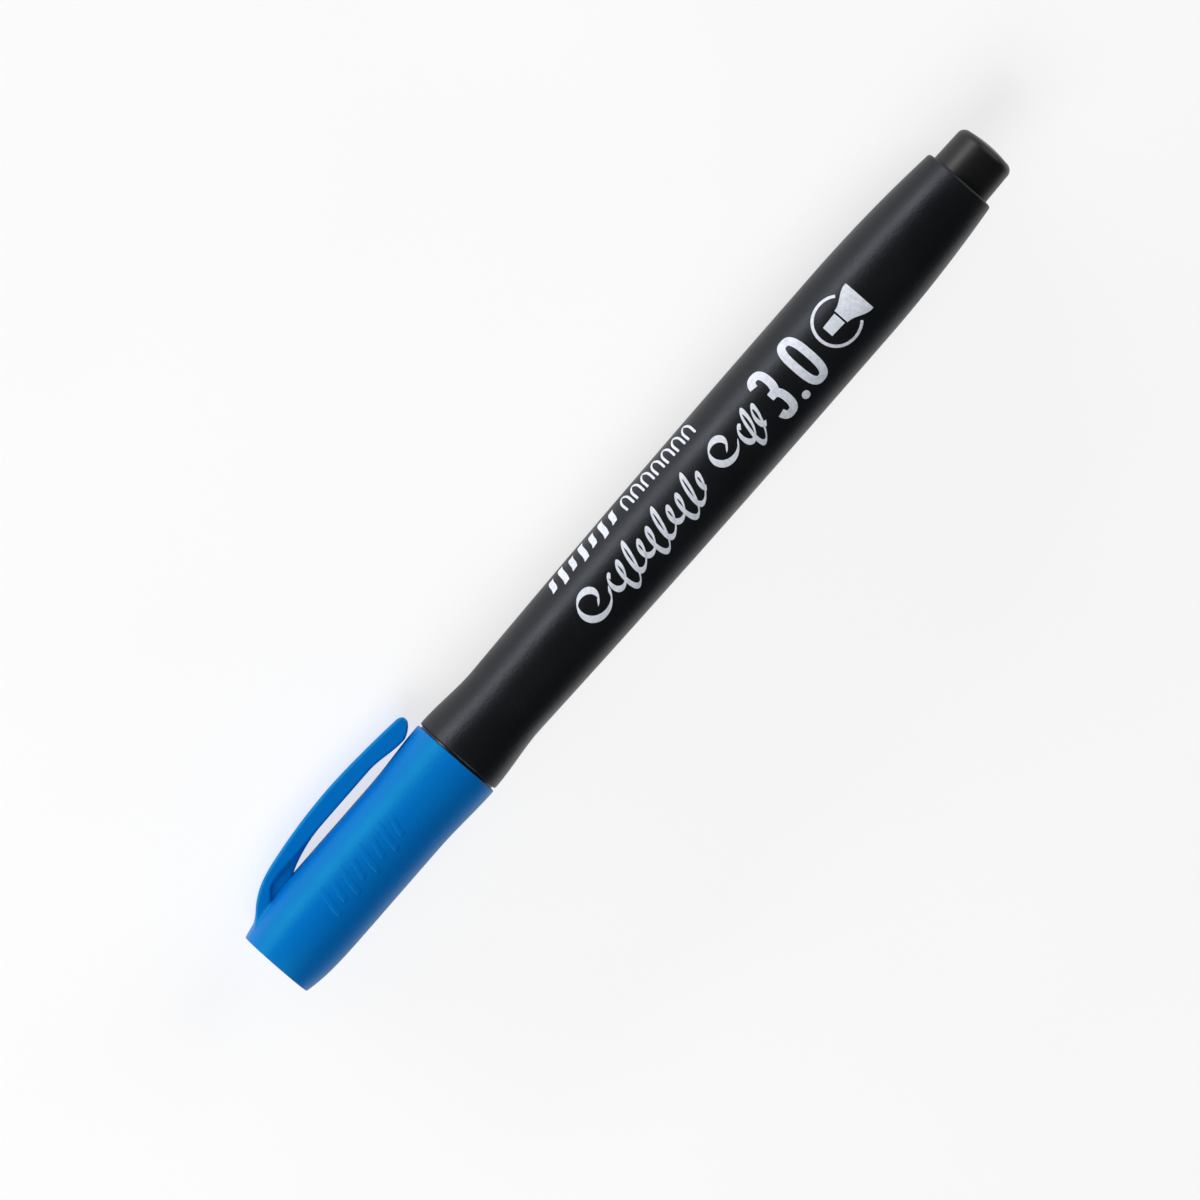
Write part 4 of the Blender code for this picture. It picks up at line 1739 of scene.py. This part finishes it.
@dataclass(frozen=True)
class Softbox:
    """A rectangular soft light, aimed at the pen's middle.

    Azimuth is in degrees round +Z from +Y, the clip's side, towards the tail. Elevation is in degrees
    above the floor.
    """

    name: str
    azimuth: float
    elevation: float
    width: float
    height: float
    watts: float
    distance: float = 0.8

    def add(self, middle: Vector) -> None:
        """Adds the light.

        Args:
            middle: The pen's middle.
        """
        turn, lift = math.radians(self.azimuth), math.radians(self.elevation)
        direction = Vector((math.sin(turn) * math.cos(lift), math.cos(turn) * math.cos(lift), math.sin(lift)))
        data = bpy.data.lights.new(self.name, "AREA")
        data.shape = "RECTANGLE"
        data.size, data.size_y = self.width, self.height
        data.energy = self.watts
        light = bpy.data.objects.new(self.name, data)
        light.location = middle + direction * self.distance
        light.rotation_euler = direction.to_track_quat("Z", "Y").to_euler()
        bpy.context.scene.collection.objects.link(light)


@dataclass
class Studio:
    """A pale table, soft lights and a long lens that looks straight at the printed side."""

    pen: PenFrame
    low: Vector
    high: Vector
    frame_width: float = 154.7 * MM
    lens_mm: float = 400.0
    sensor_mm: float = 36.0
    clip_range: tuple[float, float] = (0.01, 50.0)
    axis_degrees: float = 48.9
    offset_right: float = 4.25 * MM
    offset_up: float = 5.79 * MM
    floor_radius: float = 3.7
    cove_radius: float = 0.3
    floor_gap: float = 0.02 * MM
    softboxes: tuple[Softbox, ...] = (
        Softbox("key_softbox", azimuth=0.0, elevation=5.0, width=1.3, height=0.3, watts=7.5),
        Softbox("tail_softbox", azimuth=90.0, elevation=25.0, width=0.8, height=0.5, watts=2.0),
        Softbox("cap_softbox", azimuth=270.0, elevation=38.0, width=0.8, height=0.5, watts=4.0),
    )
    air_strength: float = 0.07

    @property
    def middle(self) -> Vector:
        """The middle of the pen's axis."""
        return Vector(((self.low.x + self.high.x) / 2, 0.0, 0.0))

    def view_axes(self) -> tuple[Vector, Vector, Vector]:
        """The picture's right and up, and the way from the pen to the camera.

        Returns:
            The three directions, each of length 1.
        """
        turn = math.radians(self.axis_degrees)
        along, side = self.pen.vector(1.0, 0.0, 0.0), self.pen.vector(0.0, 1.0, 0.0)
        right = math.cos(turn) * along - math.sin(turn) * side
        up = math.sin(turn) * along + math.cos(turn) * side
        return right, up, self.pen.vector(0.0, 0.0, 1.0)

    def add_camera(self) -> None:
        """Adds the camera and makes it the scene's."""
        right, up, back = self.view_axes()
        target = self.middle - right * self.offset_right - up * self.offset_up
        distance = self.frame_width * self.lens_mm / self.sensor_mm
        data = bpy.data.cameras.new("studio_camera")
        data.lens = self.lens_mm
        data.sensor_width = self.sensor_mm
        data.clip_start, data.clip_end = self.clip_range
        camera = bpy.data.objects.new("studio_camera", data)
        facing = Matrix((right, up, back)).transposed().to_4x4()
        camera.matrix_world = Matrix.Translation(target + back * distance) @ facing
        bpy.context.scene.collection.objects.link(camera)
        bpy.context.scene.camera = camera

    def cove_grid(self) -> Array:
        """The floor as a wide round dish, from its middle out and up a quarter circle at its rim.

        Low views then meet the same pale surface behind the pen as high ones do. The columns run clockwise
        from above, so that the faces look up.

        Returns:
            A grid of points: one row per step out from the middle, one column per angle.
        """
        flat = straight((0.0, 0.0), (self.floor_radius, 0.0), 12)
        rise = corner((self.floor_radius, self.cove_radius), self.cove_radius, -90.0, 0.0, 16)
        profile = outline(flat, rise)
        angle = -np.linspace(0.0, FULL_TURN, 96, endpoint=False)
        x, y = profile[:, :1] * np.cos(angle), profile[:, :1] * np.sin(angle)
        level = self.low.z - self.floor_gap
        return np.stack([x, y, np.repeat(profile[:, 1:] + level, len(angle), axis=1)], axis=-1)

    def add_floor(self) -> None:
        """Adds the table just under the pen's lowest point."""
        mesh = Surface.of(self.cove_grid(), Closure.DISH).to_mesh("studio_floor", TABLE_ACRYLIC.build())
        floor = bpy.data.objects.new("studio_floor", mesh)
        bpy.context.scene.collection.objects.link(floor)
        floor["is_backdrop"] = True

    def build(self) -> None:
        """Sets up the whole studio, with a little even light from the air."""
        self.add_camera()
        self.add_floor()
        for softbox in self.softboxes:
            softbox.add(self.middle)
        world = bpy.data.worlds.new("studio_air")
        world.use_nodes = True
        background = world.node_tree.nodes["Background"]
        background.inputs["Color"].default_value = (1.0, 1.0, 1.0, 1.0)
        background.inputs["Strength"].default_value = self.air_strength
        bpy.context.scene.world = world
        bpy.context.scene.view_settings.view_transform = "Standard"


# The marker ---------------------------------------------------------------------------------------------


def main() -> None:
    """Loads the frame, sets up the studio and builds each sub-assembly in order."""
    logging.basicConfig(level=logging.INFO, format="%(name)s: %(message)s")
    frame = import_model()
    cad_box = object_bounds()
    pen = PenFrame.from_joints(frame["joints"])
    Studio(pen, *cad_box).build()
    maker = PieceMaker(pen)
    blue = CAP_BLUE.build()
    barrel = Barrel(Span.of("barrel"), Span.of("tail_plug"))
    cap = Cap(Span.of("cap_shell"))
    clip = Clip(end=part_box("clip")[1].x, cap_radius=cap.outer_radius)
    writing_end = WritingEnd(Span.of("nib_holder"), Span.of("nib"))
    barrel.build(maker, BARREL_BLACK.build(), PLUG_BLACK.build())
    cap.build(maker, clip, blue)
    Liner(Span.of("cap_liner"), cap, writing_end.land_radius).build(maker, LINER_NATURAL.build())
    clip.build(maker, blue)
    writing_end.build(maker, HOLDER_BLACK.build(), NIB_FIBRE.build())
    BarrelPrint(barrel).build(maker, PRINT_INK.build())
    CapRelief(cap).build(maker, blue)
    for node, finish in (("reservoir_core", INK_FIBRE), ("reservoir_sleeve", WOUND_FILM)):
        frame["nodes"][node].material_slots[0].material = finish.build()
        LOG.info("%s keeps its CAD shape in %s", node, finish.name)


if __name__ == "__main__":
    main()
